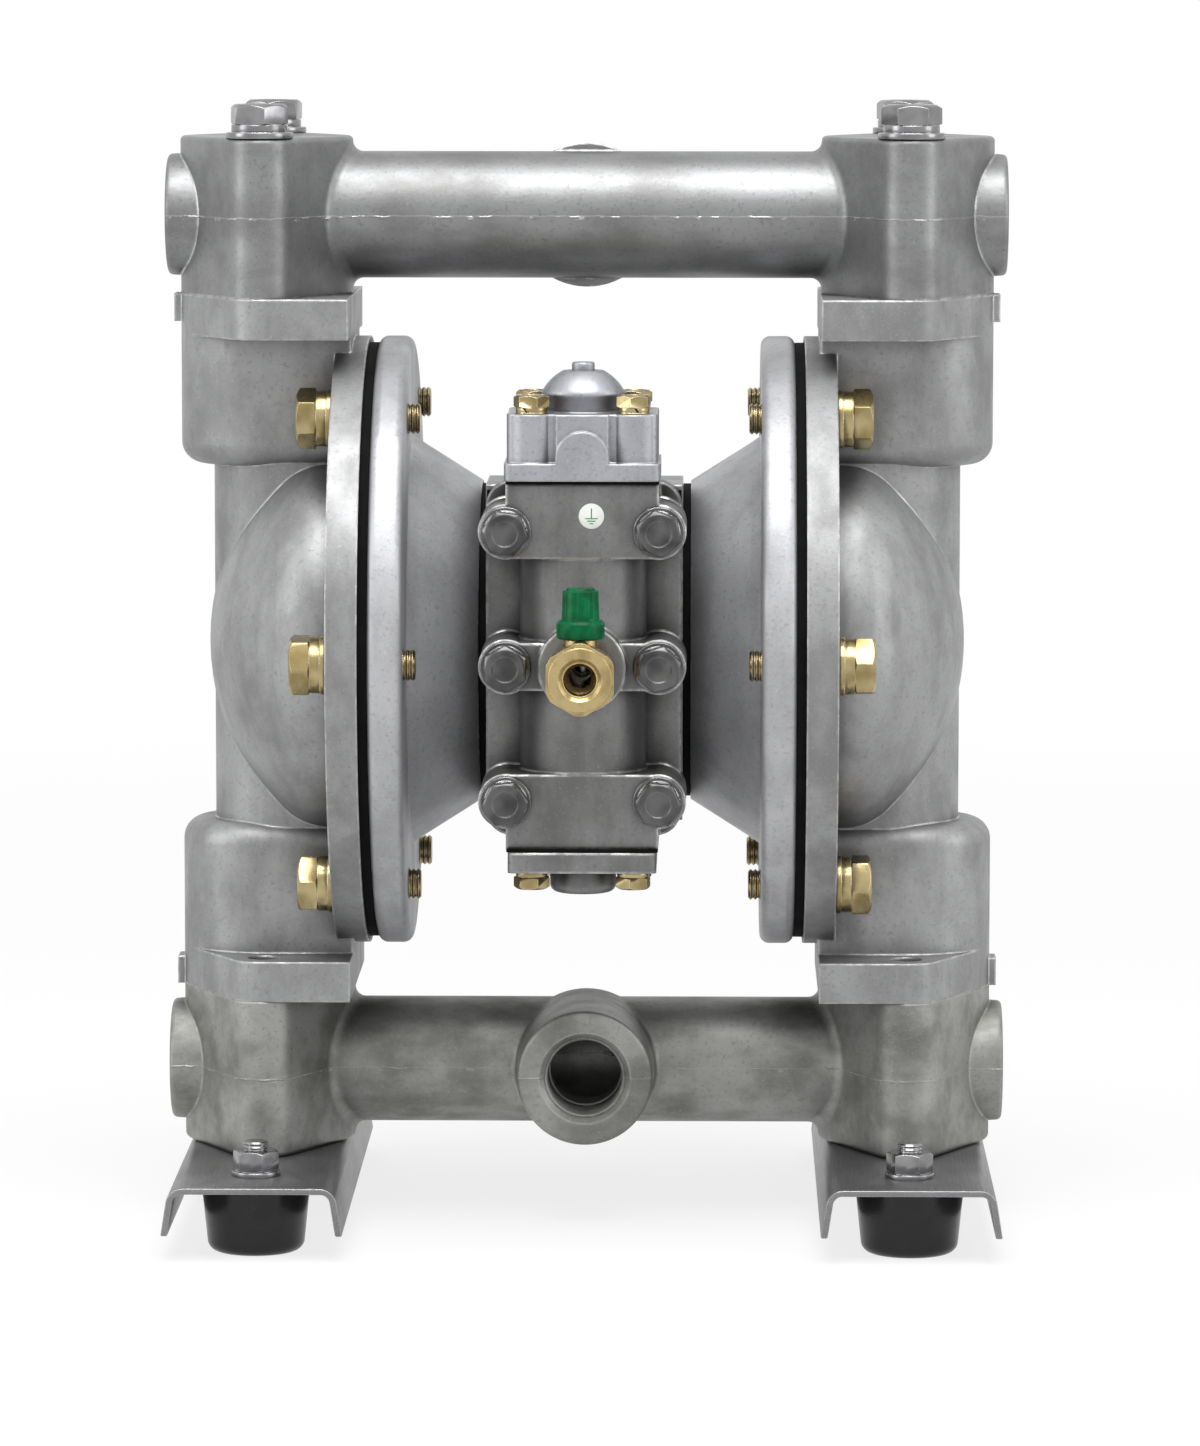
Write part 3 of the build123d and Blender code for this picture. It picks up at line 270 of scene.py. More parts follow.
@dataclass(frozen=True)
class CastAluminium:
    """Sand-cast aluminium with grain, stains, edges lightened partly by wear and partly as a painted
    highlight, painted shade in its hollows, and the mould's parting line.
    """

    name: str
    colour: Colour
    stain: Colour
    stain_share: float
    roughness: float
    metallic: float
    # hollow_shade: how strongly painted shade darkens the colour in hollows and between parts.
    hollow_shade: float
    grain: float = 0.07
    edge_radius: float = 1.1
    streaks: Point = (1.0, 1.0, 2.2)
    parting_heights: tuple[float, ...] = ()
    # Colour of the lightened edges and of the parting line's flash: partly worn metal, partly painted
    # highlight.
    edge_wear_and_highlight: Colour = (0.66, 0.66, 0.65)

    def build(self) -> bpy.types.Material:
        """Builds the material."""
        tree = Tree(self.name)
        cloud = tree.noise(38.0, 4.0, roughness=0.6)
        streak = tree.noise(13.0, 4.0, self.streaks, 0.6)
        speck = tree.noise(1.3, 2.0)
        fine = tree.noise(0.6, 2.0)
        normal, edge = tree.rounded_normal(self.edge_radius)
        stained = tree.smooth(cloud * 0.5 + streak * 0.5, 0.38, 0.64) * self.stain_share
        colour = tree.mix(stained, self.colour, self.stain)
        darker = tuple(part * 0.62 for part in self.colour)
        lighter = tuple(min(1.0, part * 1.3) for part in self.colour)
        colour = tree.mix(tree.smooth(speck, 0.52, 0.80) * 0.75, colour, darker)
        colour = tree.mix(tree.smooth(fine, 0.58, 0.80) * 0.55, colour, lighter)
        # Painted shade: the colour darkens towards a dark tone of the stain where ambient occlusion finds
        # hollows and gaps between parts, broken up by the cloud noise.
        shade_colour = tuple(part * 0.30 for part in self.stain)
        enclosed = tree.smooth(tree.hollow(16.0) + (cloud - 0.5) * 0.25, 0.18, 0.72)
        colour = tree.mix(enclosed * self.hollow_shade, colour, shade_colour)
        # The edges lighten towards the edge colour, partly as rubbed metal, which is also made smoother,
        # and partly as a painted highlight.
        wear_and_highlight = edge * (0.40 + tree.smooth(tree.noise(4.0, 3.0), 0.42, 0.60) * 0.60)
        colour = tree.mix(wear_and_highlight, colour, self.edge_wear_and_highlight)
        relief = fine * 0.4 + speck * 0.6
        rough = self.roughness + stained * 0.10 - wear_and_highlight * 0.14
        for height in self.parting_heights:
            across = tree.axes()[2] + (tree.noise(4.0, 3.0) - 0.5) * 1.3
            chipped = tree.smooth(tree.noise(8.0, 4.0, roughness=0.65), 0.50, 0.57)
            line = tree.band(across, height, 0.10, 0.30)
            flash = line * (0.22 + chipped * 0.78)
            flaked = tree.smooth(tree.noise(5.0, 3.0), 0.60, 0.66)
            flake = tree.band(across, height - 0.7, 0.25, 0.45) * flaked
            colour = tree.mix(flash * 0.6 + flake * 0.35, colour, self.edge_wear_and_highlight)
            relief = relief + flash * 3.0 + flake * 2.0
        normal = tree.bump(relief, self.grain, normal)
        return tree.finish({"Base Color": colour, "Metallic": self.metallic, "Roughness": rough,
                            "Normal": normal})


@dataclass(frozen=True)
class PlatedSteel:
    """Zinc-plated steel, bright or yellow, with a faint mottle, drawn lines and a painted highlight along
    its rims.
    """

    name: str
    colour: Colour
    second: Colour
    roughness: float
    edge_radius: float = 0.25
    # How strongly the painted highlight lightens the rims.
    rim_highlight: float = 0.5

    def build(self) -> bpy.types.Material:
        """Builds the material."""
        tree = Tree(self.name)
        mottle = tree.smooth(tree.noise(9.0, 2.0), 0.30, 0.70)
        scuff = tree.noise(0.7, 2.0)
        normal, edge = tree.rounded_normal(self.edge_radius)
        colour = tree.mix(mottle, self.colour, self.second)
        # Painted highlight: the rims lighten towards a pale tone of the colour.
        rim_highlight_colour = tuple(min(0.92, part * 0.6 + 0.42) for part in self.colour)
        colour = tree.mix(edge * self.rim_highlight, colour, rim_highlight_colour)
        rough = self.roughness + mottle * 0.10 + scuff * 0.06
        normal = tree.bump(scuff, 0.02, normal, 0.6)
        return tree.finish({"Base Color": colour, "Metallic": 1.0, "Roughness": rough, "Normal": normal})


@dataclass(frozen=True)
class BrushedSheet:
    """Rolled sheet steel, brushed along the channel, with its edges lightened partly as bare cut metal
    and partly as a painted highlight.
    """

    name: str = "brushed sheet"
    colour: Colour = (0.27, 0.27, 0.275)
    second: Colour = (0.185, 0.186, 0.19)

    def build(self) -> bpy.types.Material:
        """Builds the material."""
        tree = Tree(self.name)
        brush = tree.noise(0.5, 3.0, (1.0, 60.0, 1.0), 0.7)
        cloud = tree.noise(30.0, 3.0)
        normal, edge = tree.rounded_normal(0.35)
        colour = tree.mix(tree.smooth(brush * 0.5 + cloud * 0.5, 0.35, 0.65), self.colour, self.second)
        # The edges lighten partly as bare cut metal and partly as a painted highlight.
        colour = tree.mix(edge * 0.8, colour, (0.72, 0.72, 0.72))
        normal = tree.bump(brush, 0.03, normal, 0.7)
        return tree.finish({"Base Color": colour, "Metallic": 0.95, "Roughness": 0.34 + brush * 0.16,
                            "Normal": normal})


@dataclass(frozen=True)
class Rubber:
    """Black rubber, glossy when moulded or dull when cut from sheet."""

    name: str
    colour: Colour
    roughness: float
    grain: float
    gloss: float = 0.35

    def build(self) -> bpy.types.Material:
        """Builds the material."""
        tree = Tree(self.name)
        cloud = tree.noise(9.0, 3.0)
        fine = tree.noise(0.8, 2.0)
        lighter = tuple(part * 2.2 + 0.002 for part in self.colour)
        colour = tree.mix(tree.smooth(cloud, 0.4, 0.75) * 0.6, self.colour, lighter)
        normal, _ = tree.rounded_normal(0.5)
        normal = tree.bump(fine, self.grain, normal)
        return tree.finish({"Base Color": colour, "Roughness": self.roughness + cloud * 0.12,
                            "Specular IOR Level": self.gloss, "Normal": normal})


@dataclass(frozen=True)
class Brass:
    """Turned brass with fine tool lines round the bore, a slight tarnish, and its edges lightened partly
    as rubbed brass and partly as a painted highlight.
    """

    name: str = "turned brass"
    colour: Colour = (0.50, 0.39, 0.19)
    tarnish: Colour = (0.28, 0.205, 0.085)

    def build(self) -> bpy.types.Material:
        """Builds the material."""
        tree = Tree(self.name)
        x, _, z = tree.axes()
        radius = tree.math("SQRT", x * x + (z - SHAFT_Z) * (z - SHAFT_Z))
        lines = tree.math("SINE", radius * 22.0) * 0.5 + 0.5
        cloud = tree.smooth(tree.noise(5.0, 3.0), 0.38, 0.7)
        normal, edge = tree.rounded_normal(0.3)
        colour = tree.mix(cloud * 0.7, self.colour, self.tarnish)
        # The edges lighten towards a pale gold, partly as rubbed brass and partly as a painted highlight.
        colour = tree.mix(edge * 0.4, colour, (0.86, 0.70, 0.40))
        normal = tree.bump(lines * 0.5 + tree.noise(0.6, 2.0), 0.015, normal)
        return tree.finish({"Base Color": colour, "Metallic": 1.0, "Roughness": 0.24 + cloud * 0.12,
                            "Normal": normal})


@dataclass(frozen=True)
class Moulded:
    """Moulded plastic with a faint swirl and softened edges."""

    name: str
    colour: Colour
    second: Colour
    roughness: float
    gloss: float = 0.5

    def build(self) -> bpy.types.Material:
        """Builds the material."""
        tree = Tree(self.name)
        swirl = tree.smooth(tree.noise(6.0, 3.0), 0.35, 0.7)
        normal, edge = tree.rounded_normal(0.3)
        colour = tree.mix(swirl * 0.6 + edge * 0.3, self.colour, self.second)
        normal = tree.bump(tree.noise(0.5, 2.0), 0.01, normal)
        return tree.finish({"Base Color": colour, "Roughness": self.roughness + swirl * 0.08,
                            "Specular IOR Level": self.gloss, "Normal": normal})


class Finish(Enum):
    """The finishes of the pump, by name."""

    LIGHT_CASTING = CastAluminium(
        "light casting", (0.325, 0.327, 0.330), (0.175, 0.176, 0.175),
        stain_share=0.75, roughness=0.46, metallic=0.72, hollow_shade=0.55)
    AIR_CASTING = CastAluminium(
        "air casting", (0.45, 0.452, 0.468), (0.28, 0.282, 0.292),
        stain_share=0.65, roughness=0.48, metallic=0.60, hollow_shade=0.80)
    UPPER_CASTING = CastAluminium(
        "upper casting", (0.265, 0.267, 0.27), (0.150, 0.151, 0.146),
        stain_share=0.75, roughness=0.42, metallic=0.90, hollow_shade=0.45,
        grain=0.06, edge_radius=1.3, streaks=(2.6, 1.0, 1.0), parting_heights=(OUTLET_Z,))
    LOWER_CASTING = CastAluminium(
        "lower casting", (0.32, 0.322, 0.308), (0.125, 0.126, 0.112),
        stain_share=0.85, roughness=0.46, metallic=0.78, hollow_shade=0.75, edge_radius=1.3,
        streaks=(2.2, 1.0, 1.2), parting_heights=(INLET_Z,), edge_wear_and_highlight=(0.42, 0.42, 0.40))
    CAP_CASTING = CastAluminium(
        "cap casting", (0.38, 0.385, 0.41), (0.23, 0.235, 0.25),
        stain_share=0.45, roughness=0.42, metallic=0.75, hollow_shade=0.65,
        grain=0.04, edge_radius=0.9, edge_wear_and_highlight=(0.56, 0.565, 0.58))
    VALVE_CASTING = CastAluminium(
        "valve casting", (0.225, 0.228, 0.225), (0.100, 0.101, 0.097),
        stain_share=0.70, roughness=0.40, metallic=0.85, hollow_shade=0.95,
        grain=0.06, edge_radius=1.5, streaks=(1.0, 1.0, 3.5))
    ZINC = PlatedSteel("bright zinc", (0.30, 0.30, 0.305), (0.20, 0.20, 0.205),
                       roughness=0.16, edge_radius=0.35, rim_highlight=0.8)
    # A darker copy of the bright zinc for the valve bolts, whose dark colour paints the dark reflections
    # in their shiny faces.
    DULL_ZINC = PlatedSteel("zinc with painted dark reflections", (0.135, 0.135, 0.137), (0.06, 0.06, 0.061),
                            roughness=0.20, edge_radius=0.55, rim_highlight=1.0)
    YELLOW_ZINC = PlatedSteel("yellow zinc", (0.46, 0.375, 0.20), (0.26, 0.20, 0.085),
                              roughness=0.18, edge_radius=0.3, rim_highlight=0.7)
    GROUND_STEEL = PlatedSteel("ground steel", (0.58, 0.58, 0.59), (0.50, 0.50, 0.51), 0.16)
    SHEET = BrushedSheet()
    FOOT_RUBBER = Rubber("foot rubber", (0.006, 0.006, 0.007), roughness=0.20, grain=0.01)
    SHEET_RUBBER = Rubber("sheet rubber", (0.003, 0.003, 0.003), roughness=0.75, grain=0.03,
                          gloss=0.1)
    BRASS = Brass()
    GREEN = Moulded("green knob", (0.0, 0.060, 0.018), (0.0, 0.170, 0.055), 0.22, gloss=0.12)
    PALE_PLASTIC = Moulded("pale plastic", (0.72, 0.71, 0.66), (0.62, 0.61, 0.56), 0.45)
    DARK_PLASTIC = Moulded("dark plastic", (0.020, 0.020, 0.022), (0.045, 0.045, 0.048), 0.5)
    LABEL = Moulded("label", (0.80, 0.82, 0.78), (0.72, 0.74, 0.70), 0.45)
    LABEL_INK = Moulded("label ink", (0.02, 0.22, 0.06), (0.03, 0.28, 0.08), 0.5)


class Paints:
    """Builds each finish once and hands it out."""

    def __init__(self) -> None:
        """Starts with none built."""
        self.built: dict[Finish, bpy.types.Material] = {}

    def get(self, finish: Finish) -> bpy.types.Material:
        """The material of a finish."""
        if finish not in self.built:
            self.built[finish] = finish.value.build()
        return self.built[finish]

    def dress(self, piece: Piece, finish: Finish) -> None:
        """Gives the whole piece one finish."""
        piece.data.materials.clear()
        piece.data.materials.append(self.get(finish))


# Modelling


class Bench:
    """Mesh work with Blender's own operators, all at the origin until a piece is placed."""

    @staticmethod
    def clear() -> None:
        """Deselects everything."""
        bpy.ops.object.select_all(action="DESELECT")

    @staticmethod
    def only(*pieces: Piece) -> None:
        """Selects these pieces alone, the first one active."""
        Bench.clear()
        for piece in pieces:
            piece.select_set(True)
        bpy.context.view_layer.objects.active = pieces[0]

    @staticmethod
    def swept(name: str, profile: Sequence[Pair], segments: int,
              filled: bool) -> Piece:
        """A circle carried about Z from step to step, by extruding and scaling it.

        Args:
            name: The piece's name.
            profile: (radius, height) pairs in millimetres.
            segments: The faces round it.
            filled: Whether it starts as a disc, which leaves a solid, and not as a bare loop.

        Returns:
            The piece.
        """
        Bench.clear()
        radius, height = profile[0]
        bpy.ops.mesh.primitive_circle_add(
            vertices=segments, radius=radius * MM, location=(0, 0, height * MM),
            fill_type="NGON" if filled else "NOTHING")
        piece = bpy.context.object
        piece.name = name
        bpy.ops.object.transform_apply(location=True)
        bpy.ops.object.mode_set(mode="EDIT")
        bpy.ops.mesh.select_mode(type="FACE" if filled else "EDGE")
        bpy.ops.mesh.select_all(action="SELECT")
        for new_radius, new_height in profile[1:]:
            bpy.ops.mesh.extrude_region_move(
                TRANSFORM_OT_translate={"value": (0, 0, (new_height - height) * MM)})
            share = new_radius / radius
            if abs(share - 1) > 1e-9:
                bpy.ops.transform.resize(value=(share, share, 1), center_override=(0, 0, 0))
            radius, height = new_radius, new_height
        bpy.ops.mesh.select_all(action="SELECT")
        bpy.ops.mesh.remove_doubles(threshold=1e-7 if filled else 1e-6)
        bpy.ops.mesh.normals_make_consistent(inside=False)
        bpy.ops.object.mode_set(mode="OBJECT")
        return piece

    @staticmethod
    def turned(name: str, profile: Sequence[Pair],
               segments: int = 48) -> Piece:
        """A solid turned about Z, from its first flat face to its last."""
        return Bench.swept(name, profile, segments, True)

    @staticmethod
    def ring(name: str, section: Sequence[Pair],
             segments: int = 96) -> Piece:
        """A ring turned about Z from the corners of its closed section, in order round it."""
        return Bench.swept(name, [*section, section[0]], segments, False)

    @staticmethod
    def tapered(name: str, low: Point, high: Point, lean: float) -> Piece:
        """A box whose sides lean inwards along X by lean millimetres at its top."""
        piece = Bench.block(name, low, high)
        bpy.ops.object.mode_set(mode="EDIT")
        bpy.ops.mesh.select_mode(type="FACE")
        bpy.ops.mesh.select_all(action="DESELECT")
        bpy.ops.object.mode_set(mode="OBJECT")
        top = max(piece.data.polygons, key=lambda face: face.center.z)
        top.select = True
        bpy.ops.object.mode_set(mode="EDIT")
        width = high[0] - low[0]
        bpy.ops.transform.resize(value=(1 - 2 * lean / width, 1, 1))
        bpy.ops.object.mode_set(mode="OBJECT")
        return piece

    @staticmethod
    def hexagon(name: str, flats: float, low: float, high: float, turn: float) -> Piece:
        """A straight hexagonal block, turned by degrees about Z."""
        Bench.clear()
        bpy.ops.mesh.primitive_cylinder_add(
            vertices=6, radius=corner_radius(flats) * MM, depth=(high - low) * MM,
            location=(0, 0, (low + high) / 2 * MM), rotation=(0, 0, math.radians(turn)))
        piece = bpy.context.object
        piece.name = name
        bpy.ops.object.transform_apply(location=True, rotation=True)
        return piece

    @staticmethod
    def block(name: str, low: Point, high: Point) -> Piece:
        """A box between two corners in millimetres."""
        Bench.clear()
        middle = [(a + b) / 2 * MM for a, b in zip(low, high)]
        size = [(b - a) * MM for a, b in zip(low, high)]
        bpy.ops.mesh.primitive_cube_add(size=1, location=middle, scale=size)
        piece = bpy.context.object
        piece.name = name
        bpy.ops.object.transform_apply(location=True, scale=True)
        return piece

    @staticmethod
    def combine(piece: Piece, tool: Piece, operation: str) -> Piece:
        """Cuts, joins or crosses a piece with a tool, and removes the tool."""
        Bench.only(piece)
        change = piece.modifiers.new("shape", "BOOLEAN")
        change.operation = operation
        change.solver = "EXACT"
        change.object = tool
        bpy.ops.object.modifier_apply(modifier=change.name)
        bpy.data.objects.remove(tool)
        return piece

    @staticmethod
    def cut(piece: Piece, tool: Piece, place: Matrix) -> None:
        """Moves a tool to its place and cuts the piece with it."""
        tool.matrix_world = place
        bpy.context.view_layer.update()
        Bench.combine(piece, tool, "DIFFERENCE")

    @staticmethod
    def soften(piece: Piece, width: float, segments: int = 2,
               angle: float = 30.0) -> Piece:
        """Bevels the sharp edges of a piece."""
        Bench.only(piece)
        bevel = piece.modifiers.new("edges", "BEVEL")
        bevel.width = width * MM
        bevel.segments = segments
        bevel.limit_method = "ANGLE"
        bevel.angle_limit = math.radians(angle)
        bpy.ops.object.modifier_apply(modifier=bevel.name)
        return piece

    @staticmethod
    def shade(piece: Piece, angle: float = 32.0) -> Piece:
        """Smooths the shading below an angle."""
        Bench.only(piece)
        bpy.ops.object.shade_smooth_by_angle(angle=math.radians(angle))
        return piece

    @staticmethod
    def join(name: str, pieces: Sequence[Piece]) -> Piece:
        """Joins pieces into one object."""
        Bench.only(*pieces)
        if len(pieces) > 1:
            bpy.ops.object.join()
        joined = bpy.context.object
        joined.name = name
        return joined

    @staticmethod
    def copies(name: str, piece: Piece, places: Sequence[Matrix]) -> Piece:
        """Copies a piece to each place and joins them, and removes the pattern piece."""
        made = []
        for place in places:
            copy = piece.copy()
            copy.data = piece.data.copy()
            copy.matrix_world = place
            bpy.context.scene.collection.objects.link(copy)
            made.append(copy)
        bpy.data.objects.remove(piece)
        bpy.context.view_layer.update()
        Bench.only(*made)
        bpy.ops.object.transform_apply(location=True, rotation=True, scale=True)
        return Bench.join(name, made)


def standing(origin: Point, facing: Point, spin: float = 0.0) -> Matrix:
    """The place of a piece whose own Z points along facing.

    Args:
        origin: Its seat in millimetres.
        facing: The direction that its top points.
        spin: Its turn about that direction, in degrees.

    Returns:
        The place as a matrix in metres.
    """
    turn = Vector((0, 0, 1)).rotation_difference(Vector(facing)).to_matrix().to_4x4()
    return Matrix.Translation(Vector(origin) * MM) @ turn @ Matrix.Rotation(math.radians(spin), 4, "Z")


def corner_radius(flats: float) -> float:
    """The distance from a hexagon's middle to its corners, from its width across flats."""
    return flats / 2 / math.cos(math.pi / 6)


def four_corners(x: float, y: float, middle_y: float = 0.0) -> list[Pair]:
    """The corners of a rectangle of half widths x and y, round the middle of the pump."""
    return [(side * x, middle_y + end * y) for side in (-1, 1) for end in (-1, 1)]


def thread_steps(radius: float, depth: float, pitch: float, low: float,
                 high: float) -> list[Pair]:
    """The zigzag of a thread between two heights, as steps of a turned piece."""
    steps = []
    height = low
    while height + pitch <= high + 1e-6:
        steps += [(radius - depth, height), (radius, height + pitch / 2)]
        height += pitch
    return steps + [(radius - depth, height)]


@dataclass
class BoltPattern:
    """One kind of hexagon bolt with its washers, its seat at height 0 and its head upwards."""

    radius: float
    flats: float
    head: float
    flat_radius: float
    flat_thick: float
    spring_radius: float
    spring_thick: float
    shank: float
    thread_pitch: float = 1.5
    thread_from: float = 0.0
    thread_to: float = 0.0
    turn: float = 0.0

    def build(self, bench: Bench) -> Piece:
        """Builds the bolt: threaded shank, flat washer, split spring washer and chamfered head."""
        seat = self.flat_thick + self.spring_thick
        parts = [self.shank_piece(bench, seat)]
        if self.flat_thick:
            washer = bench.turned(
                "flat washer", [(self.flat_radius, 0.0), (self.flat_radius, self.flat_thick)])
            parts.append(bench.shade(bench.soften(washer, min(0.25, self.flat_thick * 0.3))))
        return bench.join("bolt", [*parts, self.spring_washer(bench), self.head_piece(bench, seat)])

    def shank_piece(self, bench: Bench, seat: float) -> Piece:
        """The shank with its thread where it can be seen."""
        depth = self.thread_pitch * 0.42
        profile = [(self.radius * 0.8, -self.shank)]
        if self.thread_to > self.thread_from:
            profile.append((self.radius - depth, -self.thread_to))
            profile += thread_steps(self.radius, depth, self.thread_pitch,
                                    -self.thread_to, -self.thread_from)
            profile.append((self.radius - 0.1, -self.thread_from + 0.2))
        else:
            profile.append((self.radius - 0.1, -self.shank + 1.0))
        profile.append((self.radius - 0.1, seat))
        return bench.shade(bench.turned("shank", profile, 32), 25.0)

    def spring_washer(self, bench: Bench) -> Piece:
        """A split spring washer on the flat one."""
        low = self.flat_thick
        high = low + self.spring_thick
        ring = bench.turned("spring washer", [(self.spring_radius, low), (self.spring_radius, high)])
        slit = bench.block("slit", (self.radius, -0.35, low - 1),
                           (self.spring_radius + 2, 0.35, high + 1))
        slit.matrix_world = Matrix.Rotation(math.radians(35), 4, "X")
        bench.combine(ring, slit, "DIFFERENCE")
        return bench.shade(bench.soften(ring, min(0.3, self.spring_thick * 0.25)))

    def head_piece(self, bench: Bench, seat: float) -> Piece:
        """The hexagon with its corners turned off at the top and a shallow dish in its face."""
        top = seat + self.head
        corner = corner_radius(self.flats)
        drop = (corner - self.flats * 0.47) * math.tan(math.radians(30))
        head = bench.hexagon("head", self.flats, seat, top, self.turn)
        round_off = bench.turned("round off", [
            (self.flats * 0.49, seat - 0.01), (corner * 1.01, seat + 0.5),
            (corner * 1.01, top - drop * 1.25), (self.flats * 0.46, top + 0.01)], 96)
        bench.combine(head, round_off, "INTERSECT")
        dish = bench.turned("dish", [(self.flats * 0.30, top - 0.25), (self.flats * 0.36, top + 0.5)], 48)
        bench.combine(head, dish, "DIFFERENCE")
        return bench.shade(bench.soften(head, 0.22), 28.0)


# Sub-assemblies


@dataclass
class Workshop:
    """What every sub-assembly needs: the bench, the paints and a way to hand a piece in."""

    bench: Bench = field(default_factory=Bench)
    paints: Paints = field(default_factory=Paints)

    def hand_in(self, piece: Piece, finish: Finish, body: str | None,
                replaced: Sequence[str] = ()) -> None:
        """Dresses a piece, lets it ride on its body, if any, and hides the nodes that it replaces."""
        self.paints.dress(piece, finish)
        if body is not None:
            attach(piece, body)
        if replaced:
            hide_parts(*replaced)
        LOG.info("%s: %d faces", piece.name, len(piece.data.polygons))

    def set_out(self, name: str, pattern: Piece, places: Sequence[Matrix], finish: Finish,
                replaced: Sequence[str] = (), body: str | None = "frame") -> Piece:
        """Copies a pattern piece to its places and hands the copies in as one piece."""
        piece = self.bench.copies(name, pattern, places)
        self.hand_in(piece, finish, body, replaced)
        return piece


@dataclass
class Castings:
    """The frame's own solids, each given the finish of the real one."""

    finishes: dict[Finish, tuple[str, ...]] = field(default_factory=lambda: {
        Finish.LIGHT_CASTING: ("fluid_chamber", "centre_body"),
        Finish.AIR_CASTING: ("air_chamber",),
        Finish.UPPER_CASTING: ("upper_manifold",),
        Finish.LOWER_CASTING: ("lower_manifold",),
        Finish.CAP_CASTING: ("valve_sleeve", "top_cap", "outer_disc", "reset_button"),
        Finish.VALVE_CASTING: ("valve_body", "bottom_cap"),
        Finish.ZINC: (
            "inner_disc", "foot_studs", "foot_washers", "foot_nuts", "upper_manifold_bolts",
            "lower_manifold_bolts", "manifold_washers", "valve_body_bolts", "valve_body_washers",
            "chamber_screws"),
        Finish.YELLOW_ZINC: ("flange_bolts", "flange_washers", "top_cap_bolts", "bottom_cap_bolts"),
        Finish.GROUND_STEEL: ("shaft", "pilot_pin", "pilot_spring", "valve_spool", "reset_spring"),
        Finish.SHEET: ("base_channel",),
        Finish.FOOT_RUBBER: ("rubber_feet",),
        Finish.SHEET_RUBBER: (
            "seat_seals", "lower_ball", "upper_ball", "chamber_gasket", "diaphragm", "shaft_seals",
            "valve_gasket", "cap_gaskets"),
        Finish.BRASS: ("inlet_valve_body", "inlet_valve_ball"),
        Finish.GREEN: ("knob",),
        Finish.PALE_PLASTIC: ("lower_valve_seats", "upper_valve_seats", "shaft_bushes"),
        Finish.DARK_PLASTIC: ("silencer",),
    })

    def dress(self, shop: Workshop) -> None:
        """Gives every node its finish."""
        by_name = {name: finish for finish, names in self.finishes.items() for name in names}
        for name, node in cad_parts.items():
            shop.paints.dress(node, by_name[name.removesuffix("_left").removesuffix("_right")])


@dataclass
class ManifoldBolts:
    """The bolts that hold the manifolds to the chambers."""

    top_z: float = 352.0
    bottom_z: float = 22.0

    def build(self, shop: Workshop) -> None:
        """Builds the upper and the lower bolts."""
        spots = four_corners(COLUMN_X, BOSS_Y)
        upper = BoltPattern(radius=5.0, flats=17.0, head=6.6, flat_radius=10.7, flat_thick=1.9,
                            spring_radius=9.0, spring_thick=2.4, shank=63.0, turn=12.0)
        places = [standing((x, y, self.top_z), (0, 0, 1), 40.0 * turn)
                  for turn, (x, y) in enumerate(spots)]
        shop.set_out("upper_bolt_set", upper.build(shop.bench), places, Finish.ZINC,
                     ["upper_manifold_bolts", "manifold_washers"])
        lower = BoltPattern(radius=5.0, flats=17.0, head=5.4, flat_radius=9.6, flat_thick=0.6,
                            spring_radius=8.9, spring_thick=0.6, shank=64.0)
        places = [standing((x, y, self.bottom_z), (0, 0, -1), 25.0 * turn)
                  for turn, (x, y) in enumerate(spots)]
        shop.set_out("lower_bolt_set", lower.build(shop.bench), places, Finish.ZINC,
                     ["lower_manifold_bolts"])


@dataclass
class FlangeBolts:
    """The yellow bolts round the two chamber flanges."""

    seat_x: float = 80.6
    circle: float = 86.5
    count: int = 6

    def build(self, shop: Workshop) -> None:
        """Builds both sides as one piece."""
        bolt = BoltPattern(radius=5.0, flats=17.0, head=6.6, flat_radius=9.3, flat_thick=1.8,
                           spring_radius=8.9, spring_thick=3.2, shank=28.1,
                           thread_from=9.0, thread_to=28.0)
        places = []
        for side in (-1, 1):
            for step in range(self.count):
                angle = 2 * math.pi * step / self.count
                y, z = self.circle * math.cos(angle), self.circle * math.sin(angle)
                places.append(standing((side * self.seat_x, y, SHAFT_Z + z), (side, 0, 0), 17.0 * step))
        shop.set_out("flange_bolt_set", bolt.build(shop.bench), places, Finish.YELLOW_ZINC,
                     ["flange_bolts_left", "flange_bolts_right", "flange_washers"])


@dataclass
class ValveBolts:
    """The bolts of the air valve body and of its two caps."""

    bolt_x: float = 24.0
    bolt_z: float = 42.5
    cap_x: float = 16.0
    cap_y: float = 13.5
    top_seat_z: float = 267.2
    bottom_seat_z: float = 123.0

    def build(self, shop: Workshop) -> None:
        """Builds the six bright bolts and the eight small yellow ones."""
        bolt = BoltPattern(radius=4.0, flats=13.0, head=5.2, flat_radius=8.0, flat_thick=1.6,
                           spring_radius=6.6, spring_thick=2.0, shank=50.0)
        places = [standing((x, VALVE_FRONT_Y, SHAFT_Z + z), (0, -1, 0), 23.0 * row + x)
                  for row, z in enumerate((-self.bolt_z, 0.0, self.bolt_z))
                  for x in (-self.bolt_x, self.bolt_x)]
        shop.set_out("valve_bolt_set", bolt.build(shop.bench), places, Finish.DULL_ZINC,
                     ["valve_body_bolts", "valve_body_washers"])
        for cap, seat_z, up, shank in (("top_cap", self.top_seat_z, 1, 22.0),
                                       ("bottom_cap", self.bottom_seat_z, -1, 18.0)):
            bolt = BoltPattern(radius=3.0, flats=10.0, head=4.0, flat_radius=5.1, flat_thick=0.5,
                               spring_radius=5.0, spring_thick=1.4, shank=shank)
            places = [standing((x, y, seat_z), (0, 0, up), x + up * y)
                      for x, y in four_corners(self.cap_x, self.cap_y, SPOOL_Y)]
            shop.set_out(f"{cap}_bolt_set", bolt.build(shop.bench), places, Finish.YELLOW_ZINC,
                         [f"{cap}_bolts"])


